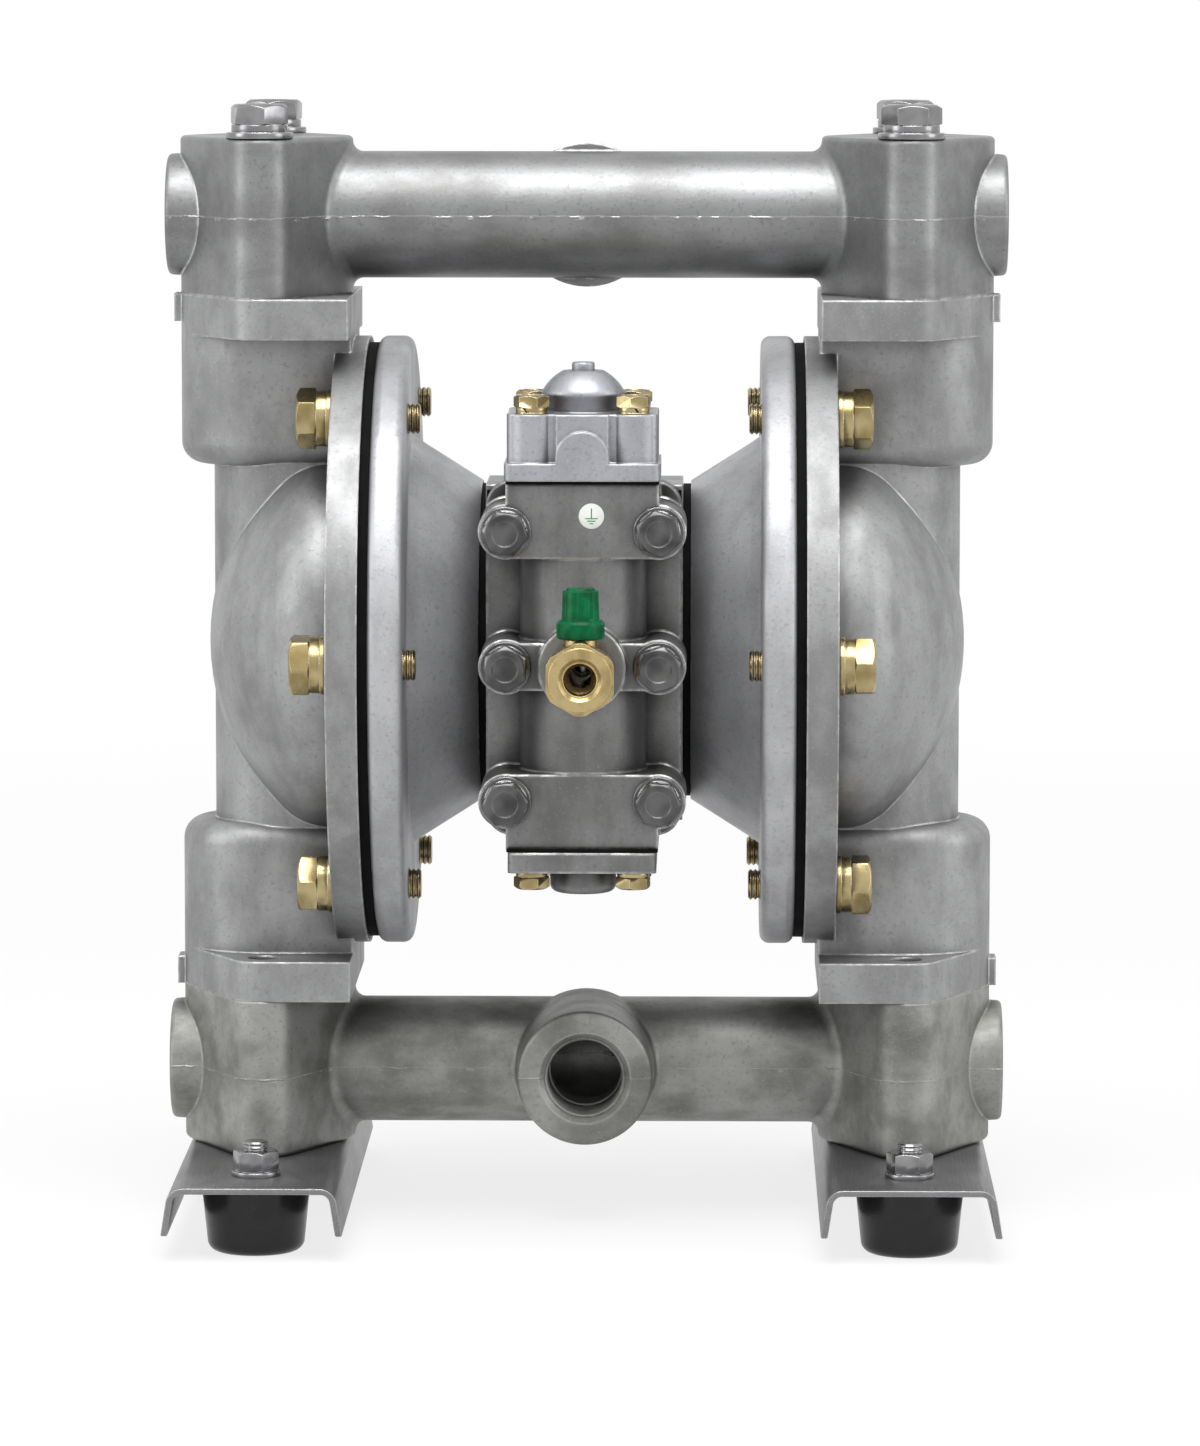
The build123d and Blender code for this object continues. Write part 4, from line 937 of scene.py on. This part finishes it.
@dataclass
class FootNuts:
    """The nuts that hold the rubber feet, with the threaded end above."""

    buried: float = 14.0
    thread_start: float = 6.0
    stud_top: float = 12.0
    flats: float = 13.0
    washer_radius: float = 7.8
    nut_low: float = 1.6
    nut_high: float = 8.1
    face_radius: float = 6.3

    def build(self, shop: Workshop) -> None:
        """Builds the four studs, washers and nuts."""
        bench = shop.bench
        steps = thread_steps(4.0, 0.5, 1.25, self.thread_start, self.stud_top)
        stud = [(4.0, -self.buried), (4.0, self.thread_start - 0.2), *steps]
        washer = [(self.washer_radius, 0.0), (self.washer_radius, self.nut_low)]
        corner = corner_radius(self.flats) * 1.01
        ends = [(self.face_radius, self.nut_low - 0.01), (corner, self.nut_low + 0.7),
                (corner, self.nut_high - 0.7), (self.face_radius, self.nut_high + 0.01)]
        nut = bench.hexagon("nut", self.flats, self.nut_low, self.nut_high, 8.0)
        bench.combine(nut, bench.turned("both ends", ends, 96), "INTERSECT")
        pattern = bench.join("foot nut", [
            bench.shade(bench.turned("stud", stud, 32), 25.0),
            bench.shade(bench.soften(bench.turned("washer", washer), 0.25)),
            bench.shade(bench.soften(nut, 0.2), 28.0)])
        places = [standing((x, y, BASE_TOP_Z), (0, 0, 1), x * 0.3 + y)
                  for x, y in four_corners(COLUMN_X, FOOT_Y)]
        shop.set_out("foot_nut_set", pattern, places, Finish.ZINC,
                     ["foot_nuts", "foot_washers", "foot_studs"])


@dataclass
class Stand:
    """The two folded channels and their four rubber feet."""

    half_width: float = 28.65
    half_length: float = 104.0
    leg: float = 15.3
    sheet: float = 2.0
    bend: float = 4.5
    lean: float = 2.4
    boss_hole: float = 5.5
    stud_hole: float = 4.5
    foot_radius: float = 17.4
    foot_height: float = 22.0
    foot_taper: float = 1.9
    foot_round: float = 3.6
    foot_bore: float = 4.02
    bore_depth: float = 12.0

    def build(self, shop: Workshop) -> None:
        """Builds the channels and the feet."""
        bench = shop.bench
        for name, side in (("left", -1), ("right", 1)):
            place = standing((side * COLUMN_X, 0, 0), (0, 0, 1))
            shop.set_out(f"channel_{name}", self.channel(bench), [place], Finish.SHEET,
                         [f"base_channel_{name}"])
        places = [standing((x, y, 0), (0, 0, 1), 30.0 * turn)
                  for turn, (x, y) in enumerate(four_corners(COLUMN_X, FOOT_Y))]
        shop.set_out("foot_set", self.foot(bench), places, Finish.FOOT_RUBBER,
                     ["rubber_feet"])

    def channel(self, bench: Bench) -> Piece:
        """One channel: a rounded hood, hollowed, cut square at its ends and softened at its tips."""
        spare = 20.0
        low_z = BASE_TOP_Z - self.leg
        slope = self.lean / self.leg
        y = self.half_length + spare
        half = self.half_width + slope * spare
        outer = bench.tapered("channel", (-half, -y, low_z - spare), (half, y, BASE_TOP_Z),
                              slope * (self.leg + spare))
        bench.soften(outer, self.bend, 6, 60.0)
        half -= self.sheet
        inner = bench.tapered("inside", (-half, -y - 1, low_z - spare - 1),
                              (half, y + 1, BASE_TOP_Z - self.sheet),
                              slope * (self.leg + spare + 1 - self.sheet))
        bench.soften(inner, self.bend - self.sheet, 6, 60.0)
        bench.combine(outer, inner, "DIFFERENCE")
        room = bench.block("room", (-60, -self.half_length, low_z), (60, self.half_length, 60))
        bench.combine(outer, room, "INTERSECT")
        for place, radius in ((BOSS_Y, self.boss_hole), (FOOT_Y, self.stud_hole)):
            for end in (-1, 1):
                hole = bench.turned("hole", [(radius, 10.0), (radius, 40.0)], 32)
                bench.cut(outer, hole, Matrix.Translation((0, end * place * MM, 0)))
        return bench.shade(bench.soften(outer, 0.45, 2, 50.0), 35.0)

    def foot(self, bench: Bench) -> Piece:
        """One foot: a slightly tapered puck with a rounded lower edge and a bored top."""
        base = self.foot_radius - self.foot_taper
        rounded = [(base - self.foot_round + self.foot_round * math.sin(math.radians(step)),
                    self.foot_round - self.foot_round * math.cos(math.radians(step)))
                   for step in range(0, 91, 15)]
        top = [(self.foot_radius - 0.1, self.foot_height - 0.8),
               (self.foot_radius - 0.8, self.foot_height)]
        foot = bench.turned("foot", [*rounded, *top], 64)
        bore = bench.turned("bore", [(self.foot_bore, self.foot_height - self.bore_depth),
                                     (self.foot_bore, self.foot_height + 1)], 32)
        return bench.shade(bench.combine(foot, bore, "DIFFERENCE"), 40.0)


@dataclass
class CapDome:
    """The rounded shell of the dome on the top cap, open in the middle for the button."""

    seat_z: float = 246.5
    foot_height: float = 21.5
    rim_radius: float = 13.2
    rim_height: float = 26.7
    top_radius: float = 6.4
    top_height: float = 33.56
    bulge: float = 0.75
    hole: float = 3.75
    thick: float = 1.2
    steps: int = 8

    def build(self, shop: Workshop) -> None:
        """Turns the shell on an arc between its rim and its top."""
        bench = shop.bench
        run, rise = self.top_radius - self.rim_radius, self.top_height - self.rim_height
        length = math.hypot(run, rise)
        arc = []
        for step in range(self.steps + 1):
            share = step / self.steps
            out = self.bulge * 4 * share * (1 - share) / length
            arc.append((self.rim_radius + run * share + rise * out,
                        self.rim_height + rise * share - run * out))
        waist = self.rim_radius - 0.6
        section = [(self.hole, self.top_height), (self.hole, self.top_height - self.thick),
                   (waist - self.thick, self.foot_height), (waist, self.foot_height),
                   (waist, self.rim_height - 1.6), (self.rim_radius, self.rim_height - 0.8), *arc]
        shell = bench.shade(bench.ring("dome", section), 40.0)
        place = standing((0, SPOOL_Y, self.seat_z), (0, 0, 1))
        shop.set_out("cap_dome", shell, [place], Finish.CAP_CASTING)


@dataclass
class Springs:
    """The springs behind the reset button and the pilot pins, which shorten as those are pressed."""

    button_press: float = 2.5
    pin_press: float = 3.0

    def build(self, shop: Workshop) -> None:
        """Copies each spring as a piece of its own, in ground steel on the frame, in place of its node.
        """
        for name, joint, axis, travel in (
                ("reset_spring", "reset_press", 2, self.button_press),
                ("pilot_spring_left", "pilot_left_press", 0, self.pin_press),
                ("pilot_spring_right", "pilot_right_press", 0, self.pin_press)):
            low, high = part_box(name)
            seat = list(low)
            if axis == 0 and high[0] < 0:
                seat[0] = high[0]
            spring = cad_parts[name].copy()
            spring.data = spring.data.copy()
            bpy.context.scene.collection.objects.link(spring)
            piece = shop.bench.shade(shop.bench.join(name.replace("spring", "coil"), [spring]))
            shop.hand_in(piece, Finish.GROUND_STEEL, "frame", [name])
            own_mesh(piece)


@dataclass
class Diaphragms:
    """The two rubber diaphragms in sectors, each with a rolled fold between the clamped rim and the
    shaft's discs.
    """

    air_face: float = 67.5
    thick: float = 3.0
    outer: float = 97.0
    clamp_edge: float = 80.0
    disc_edge: float = 24.0
    fold_outer: float = 70.0
    fold_inner: float = 46.0
    rise: float = 6.0
    bore: float = 6.05
    bend_start: float = 66.0
    bend_end: float = 44.0
    sectors: int = 8

    def section(self) -> list[Pair]:
        """The closed section as (radius, height) from the bore, up the air side and back."""
        middle = (self.fold_outer + self.fold_inner) / 2
        reach = (self.fold_outer - self.fold_inner) / 2
        air_reach = reach - self.thick / 2

        def fold(base: float, half: float) -> list[Pair]:
            """The rolled fold at a height, from its inside out."""
            return [(middle - half * math.cos(math.radians(step)),
                     base + self.rise * math.sin(math.radians(step))) for step in range(0, 181, 15)]

        def side(base: float, half: float) -> list[Pair]:
            """One side from the bore to the rim."""
            return [(self.bore, base), (self.disc_edge, base), *fold(base, half),
                    (self.clamp_edge, base), (self.outer, base)]

        low, high = side(0.0, air_reach), side(self.thick, reach)
        return [*low, *reversed(high)]

    def sector(self, bench: Bench) -> Piece:
        """One sector about Z, spun from the section and closed at both ends."""
        outline = self.section()
        bench.clear()
        bpy.ops.mesh.primitive_circle_add(vertices=len(outline), radius=MM, fill_type="NGON")
        piece = bpy.context.object
        turn = math.radians(360.0 / self.sectors)
        for vertex, (radius, height) in zip(piece.data.vertices, outline):
            vertex.co = (radius * math.cos(turn / 2) * MM, -radius * math.sin(turn / 2) * MM,
                         height * MM)
        bpy.ops.object.mode_set(mode="EDIT")
        bpy.ops.mesh.select_all(action="SELECT")
        bpy.ops.mesh.spin(steps=6, angle=turn, center=(0, 0, 0), axis=(0, 0, 1))
        bpy.ops.mesh.select_all(action="SELECT")
        bpy.ops.mesh.normals_make_consistent(inside=False)
        bpy.ops.object.mode_set(mode="OBJECT")
        return bench.shade(piece, 40.0)

    def build(self, shop: Workshop) -> None:
        """Places the sectors round both ends of the shaft."""
        for hand, side in (("left", -1), ("right", 1)):
            for count in range(self.sectors):
                spin = 360.0 / self.sectors * count
                spot = standing((side * self.air_face, 0, SHAFT_Z), (side, 0, 0), spin)
                piece = shop.set_out(
                    f"diaphragm_{hand}_sector_{count + 1}", self.sector(shop.bench), [spot],
                    Finish.SHEET_RUBBER, [f"diaphragm_{hand}"], None)
                start, end = (spot @ Vector((radius * MM, 0, 0))
                              for radius in (self.bend_start, self.bend_end))
                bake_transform(piece)


@dataclass
class Knob:
    """The green fluted knob of the inlet valve."""

    middle_y: float = -119.0
    base_z: float = 199.7
    skirt_radius: float = 7.5
    skirt: float = 5.7
    grip_radius: float = 5.9
    grip: float = 9.0
    ridges: int = 8

    def build(self, shop: Workshop) -> None:
        """Turns the knob, cuts its flutes and rounds its edges."""
        bench = shop.bench
        top = self.skirt + self.grip
        knob = bench.turned("knob_body", [
            (self.skirt_radius - 0.5, 0.0), (self.skirt_radius, 0.6),
            (self.skirt_radius, self.skirt - 1.0), (self.skirt_radius - 0.8, self.skirt),
            (self.grip_radius, self.skirt + 0.1),
            (self.grip_radius - 0.35, top), (4.5, top + 0.4), (4.2, top + 1.0)], 64)
        flute_circle = (self.grip_radius + 0.35) * MM
        for step in range(self.ridges):
            angle = 2 * math.pi * (step + 0.5) / self.ridges
            flute = bench.turned("flute", [(1.15, self.skirt + 0.6), (1.05, top + 2)], 20)
            bench.cut(knob, flute, Matrix.Translation((
                flute_circle * math.cos(angle), flute_circle * math.sin(angle), 0)))
        bench.shade(bench.soften(knob, 0.3, 2, 35.0), 35.0)
        place = standing((0, self.middle_y, self.base_z), (0, 0, 1), 10.0)
        shop.set_out("green_knob", knob, [place], Finish.GREEN, ["knob"], "knob_group")


@dataclass
class PortThreads:
    """The pipe threads inside the two fluid ports and the air inlet."""

    reach: float = 42.0
    fluid_radius: float = 13.0
    air_radius: float = 5.7
    air_face_y: float = -133.0

    def build(self, shop: Workshop) -> None:
        """Builds a threaded lining for each port."""
        for name, facing, z, finish in (("inlet_thread", -1, INLET_Z, Finish.LOWER_CASTING),
                                        ("outlet_thread", 1, OUTLET_Z, Finish.UPPER_CASTING)):
            place = standing((0, facing * self.reach, z), (0, facing, 0))
            piece = self.lining(shop.bench, name, self.fluid_radius, 1.814, -19.6, -2.2, 0.95)
            shop.set_out(name, piece, [place], finish)
        place = standing((0, self.air_face_y, SHAFT_Z), (0, -1, 0))
        piece = self.lining(shop.bench, "air_thread", self.air_radius, 1.337, -7.9, -1.2, 0.55)
        shop.set_out("air_thread", piece, [place], Finish.BRASS)

    @staticmethod
    def lining(bench: Bench, name: str, radius: float, pitch: float, low: float, high: float,
               depth: float) -> Piece:
        """A sleeve that just fills the bore, its inside cut to a thread."""
        sleeve = bench.turned(name, [(radius + 0.02, low), (radius + 0.02, high)], 96)
        cutter = [(radius - depth, low - 1),
                  *thread_steps(radius - 0.03, depth, pitch, low, high + pitch)]
        bench.combine(sleeve, bench.turned("cutter", cutter, 96), "DIFFERENCE")
        return bench.shade(sleeve, 20.0)


@dataclass
class EarthLabel:
    """The round earth label on the upper pad of the air valve."""

    x: float = 2.9
    z: float = 235.5
    radius: float = 4.0
    thick: float = 0.15
    bars: tuple[tuple[float, float, float, float], ...] = (
        (-0.16, 0.16, -0.6, 2.5), (-2.0, 2.0, -0.9, -0.6),
        (-1.3, 1.3, -1.7, -1.4), (-0.6, 0.6, -2.5, -2.2))

    def build(self, shop: Workshop) -> None:
        """Builds the disc and its symbol, whose bars go from X to X and from Z to Z."""
        bench = shop.bench
        disc = bench.turned("label_disc", [(self.radius, 0.0), (self.radius, self.thick)], 64)
        place = standing((self.x, VALVE_FRONT_Y, self.z), (0, -1, 0))
        shop.set_out("label_disc", bench.shade(bench.soften(disc, 0.05)), [place], Finish.LABEL)
        front = VALVE_FRONT_Y - 0.19
        back = VALVE_FRONT_Y - 0.13
        symbol = bench.join("label_symbol", [
            bench.block("bar", (self.x + x0, front, self.z + z0), (self.x + x1, back, self.z + z1))
            for x0, x1, z0, z1 in self.bars])
        shop.hand_in(symbol, Finish.LABEL_INK, "frame")


@dataclass
class Silencer:
    """The exhaust silencer behind the centre body, with rows of slots round its can."""

    start_y: float = 46.0
    neck_radius: float = 8.2
    flange_radius: float = 13.5
    can_radius: float = 16.0
    can_start: float = 18.0
    end: float = 87.0
    slots: int = 12
    rib_pitch: float = 6.0
    rib_depth: float = 1.2

    def build(self, shop: Workshop) -> None:
        """Turns the can, cuts its slots and puts it in its place."""
        bench = shop.bench
        profile = [(self.neck_radius, 0.0), (self.neck_radius, 12.0), (self.flange_radius, 12.0),
                   (self.flange_radius, self.can_start), (self.can_radius, self.can_start + 0.4)]
        height = self.can_start + self.rib_pitch
        groove = self.can_radius - self.rib_depth
        while height < self.end - 10.0:
            profile += [(self.can_radius, height), (groove, height + 0.5),
                        (groove, height + 2.5), (self.can_radius, height + 3.0)]
            height += self.rib_pitch
        profile += [(self.can_radius, self.end - 2.5), (self.can_radius - 2.5, self.end)]
        can = bench.turned("can", profile, 64)
        for step in range(self.slots):
            slot = bench.block("slot", (self.can_radius - 2.5, -1.0, self.can_start + 7.0),
                               (self.can_radius + 2.0, 1.0, self.end - 12.0))
            bench.cut(can, slot, Matrix.Rotation(math.radians(360.0 * step / self.slots), 4, "Z"))
        bench.shade(bench.soften(can, 0.35, 2, 35.0), 35.0)
        place = standing((0, self.start_y, SHAFT_Z), (0, 1, 0))
        shop.set_out("silencer_can", can, [place], Finish.DARK_PLASTIC, ["silencer"])


# Studio


@dataclass(frozen=True)
class PhotoCamera:
    """The camera at the photograph's own place and angle."""

    place: Point = (39.26, -2277.29, 407.71)
    yaw: float = -0.8812
    pitch: float = 6.1954
    roll: float = 0.0409
    lens: float = 210.08
    sensor: float = 36.0
    reach: float = 50.0

    def build(self) -> None:
        """Adds the camera and makes it the scene's own."""
        yaw, pitch, roll = (math.radians(angle) for angle in (self.yaw, self.pitch, self.roll))
        forward = Vector((math.sin(yaw) * math.cos(pitch), math.cos(yaw) * math.cos(pitch),
                          -math.sin(pitch)))
        level = Vector((math.cos(yaw), -math.sin(yaw), 0))
        above = level.cross(forward)
        right = level * math.cos(roll) + above * math.sin(roll)
        up = above * math.cos(roll) - level * math.sin(roll)
        data = bpy.data.cameras.new("photo camera")
        data.sensor_fit = "HORIZONTAL"
        data.sensor_width = self.sensor
        data.lens = self.lens
        data.clip_end = self.reach
        camera = bpy.data.objects.new("photo camera", data)
        turn = Matrix((right, up, -forward)).transposed().to_4x4()
        camera.matrix_world = Matrix.Translation(Vector(self.place) * MM) @ turn
        bpy.context.scene.collection.objects.link(camera)
        bpy.context.scene.camera = camera


@dataclass(frozen=True)
class SoftBox:
    """One large soft lamp that looks at the pump."""

    name: str
    place: Point
    size: Pair
    power: float

    def build(self) -> None:
        """Adds the lamp."""
        data = bpy.data.lights.new(self.name, "AREA")
        data.shape = "RECTANGLE"
        data.size, data.size_y = (side * MM for side in self.size)
        data.energy = self.power
        lamp = bpy.data.objects.new(self.name, data)
        lamp.location = Vector(self.place) * MM
        aim = Vector((0, 0, SHAFT_Z)) - Vector(self.place)
        lamp.rotation_euler = aim.to_track_quat("-Z", "Y").to_euler()
        bpy.context.scene.collection.objects.link(lamp)


@dataclass
class Studio:
    """The pale floor, the lamps and the world."""

    floor_size: float = 9000.0
    shadow_reach: float = 400.0
    world_level: float = 0.36
    lamps: tuple[SoftBox, ...] = (
        SoftBox("top lamp", (0, -850, 2100), (1900, 1400), 52.0),
        SoftBox("left lamp", (-1900, -700, 900), (900, 1600), 13.0),
        SoftBox("right lamp", (1900, -600, 900), (900, 1600), 11.0),
    )

    def build(self) -> None:
        """Builds the whole studio."""
        PhotoCamera().build()
        for lamp in self.lamps:
            lamp.build()
        self.floor()
        self.world()
        bpy.context.scene.view_settings.view_transform = "Standard"

    def floor(self) -> None:
        """A wide floor that looks white and keeps a soft shadow."""
        Bench.clear()
        bpy.ops.mesh.primitive_plane_add(size=self.floor_size * MM)
        floor = bpy.context.object
        floor.name = "studio_floor"
        tree = Tree("studio floor")
        x, y, _ = tree.axes()
        away = tree.smooth(tree.math("SQRT", x * x + y * y), self.shadow_reach, 4 * self.shadow_reach)
        paint = tree.node("ShaderNodeBsdfDiffuse", {}, {"Color": (0.86, 0.86, 0.86, 1.0)})
        glow = tree.node("ShaderNodeEmission", {}, {"Color": (1.0, 1.0, 1.0, 1.0), "Strength": 1.0})
        blend = tree.node("ShaderNodeMixShader", {}, {
            0: tree.seen() * (0.8 + away * 0.2), 1: Value(tree, paint.outputs[0]),
            2: Value(tree, glow.outputs[0])})
        tree.close(blend)
        floor.data.materials.append(tree.owner)

    def world(self) -> None:
        """White where the camera, gloss or glass sees it, and a plain grey light elsewhere."""
        tree = Tree("studio", world=True)
        bpy.context.scene.world = tree.owner
        level = tree.node("ShaderNodeMapRange", {}, {0: tree.seen(), 3: self.world_level, 4: 1.0})
        light = tree.node("ShaderNodeBackground", {}, {
            "Color": (1.0, 1.0, 1.0, 1.0), "Strength": Value(tree, level.outputs[0])})
        tree.close(light, "ShaderNodeOutputWorld")


def main() -> None:
    """Builds the pump's looks and its studio."""
    logging.basicConfig(level=logging.INFO, format="%(message)s")
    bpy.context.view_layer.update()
    shop = Workshop()
    Castings().dress(shop)
    builders: tuple[Callable[[Workshop], None], ...] = (
        Stand().build, CapDome().build, Springs().build, Diaphragms().build,
        ManifoldBolts().build, FlangeBolts().build, ValveBolts().build, FootNuts().build,
        Knob().build, PortThreads().build, EarthLabel().build, Silencer().build)
    for build in builders:
        build(shop)
    Studio().build()


if __name__ == "__main__":
    main()
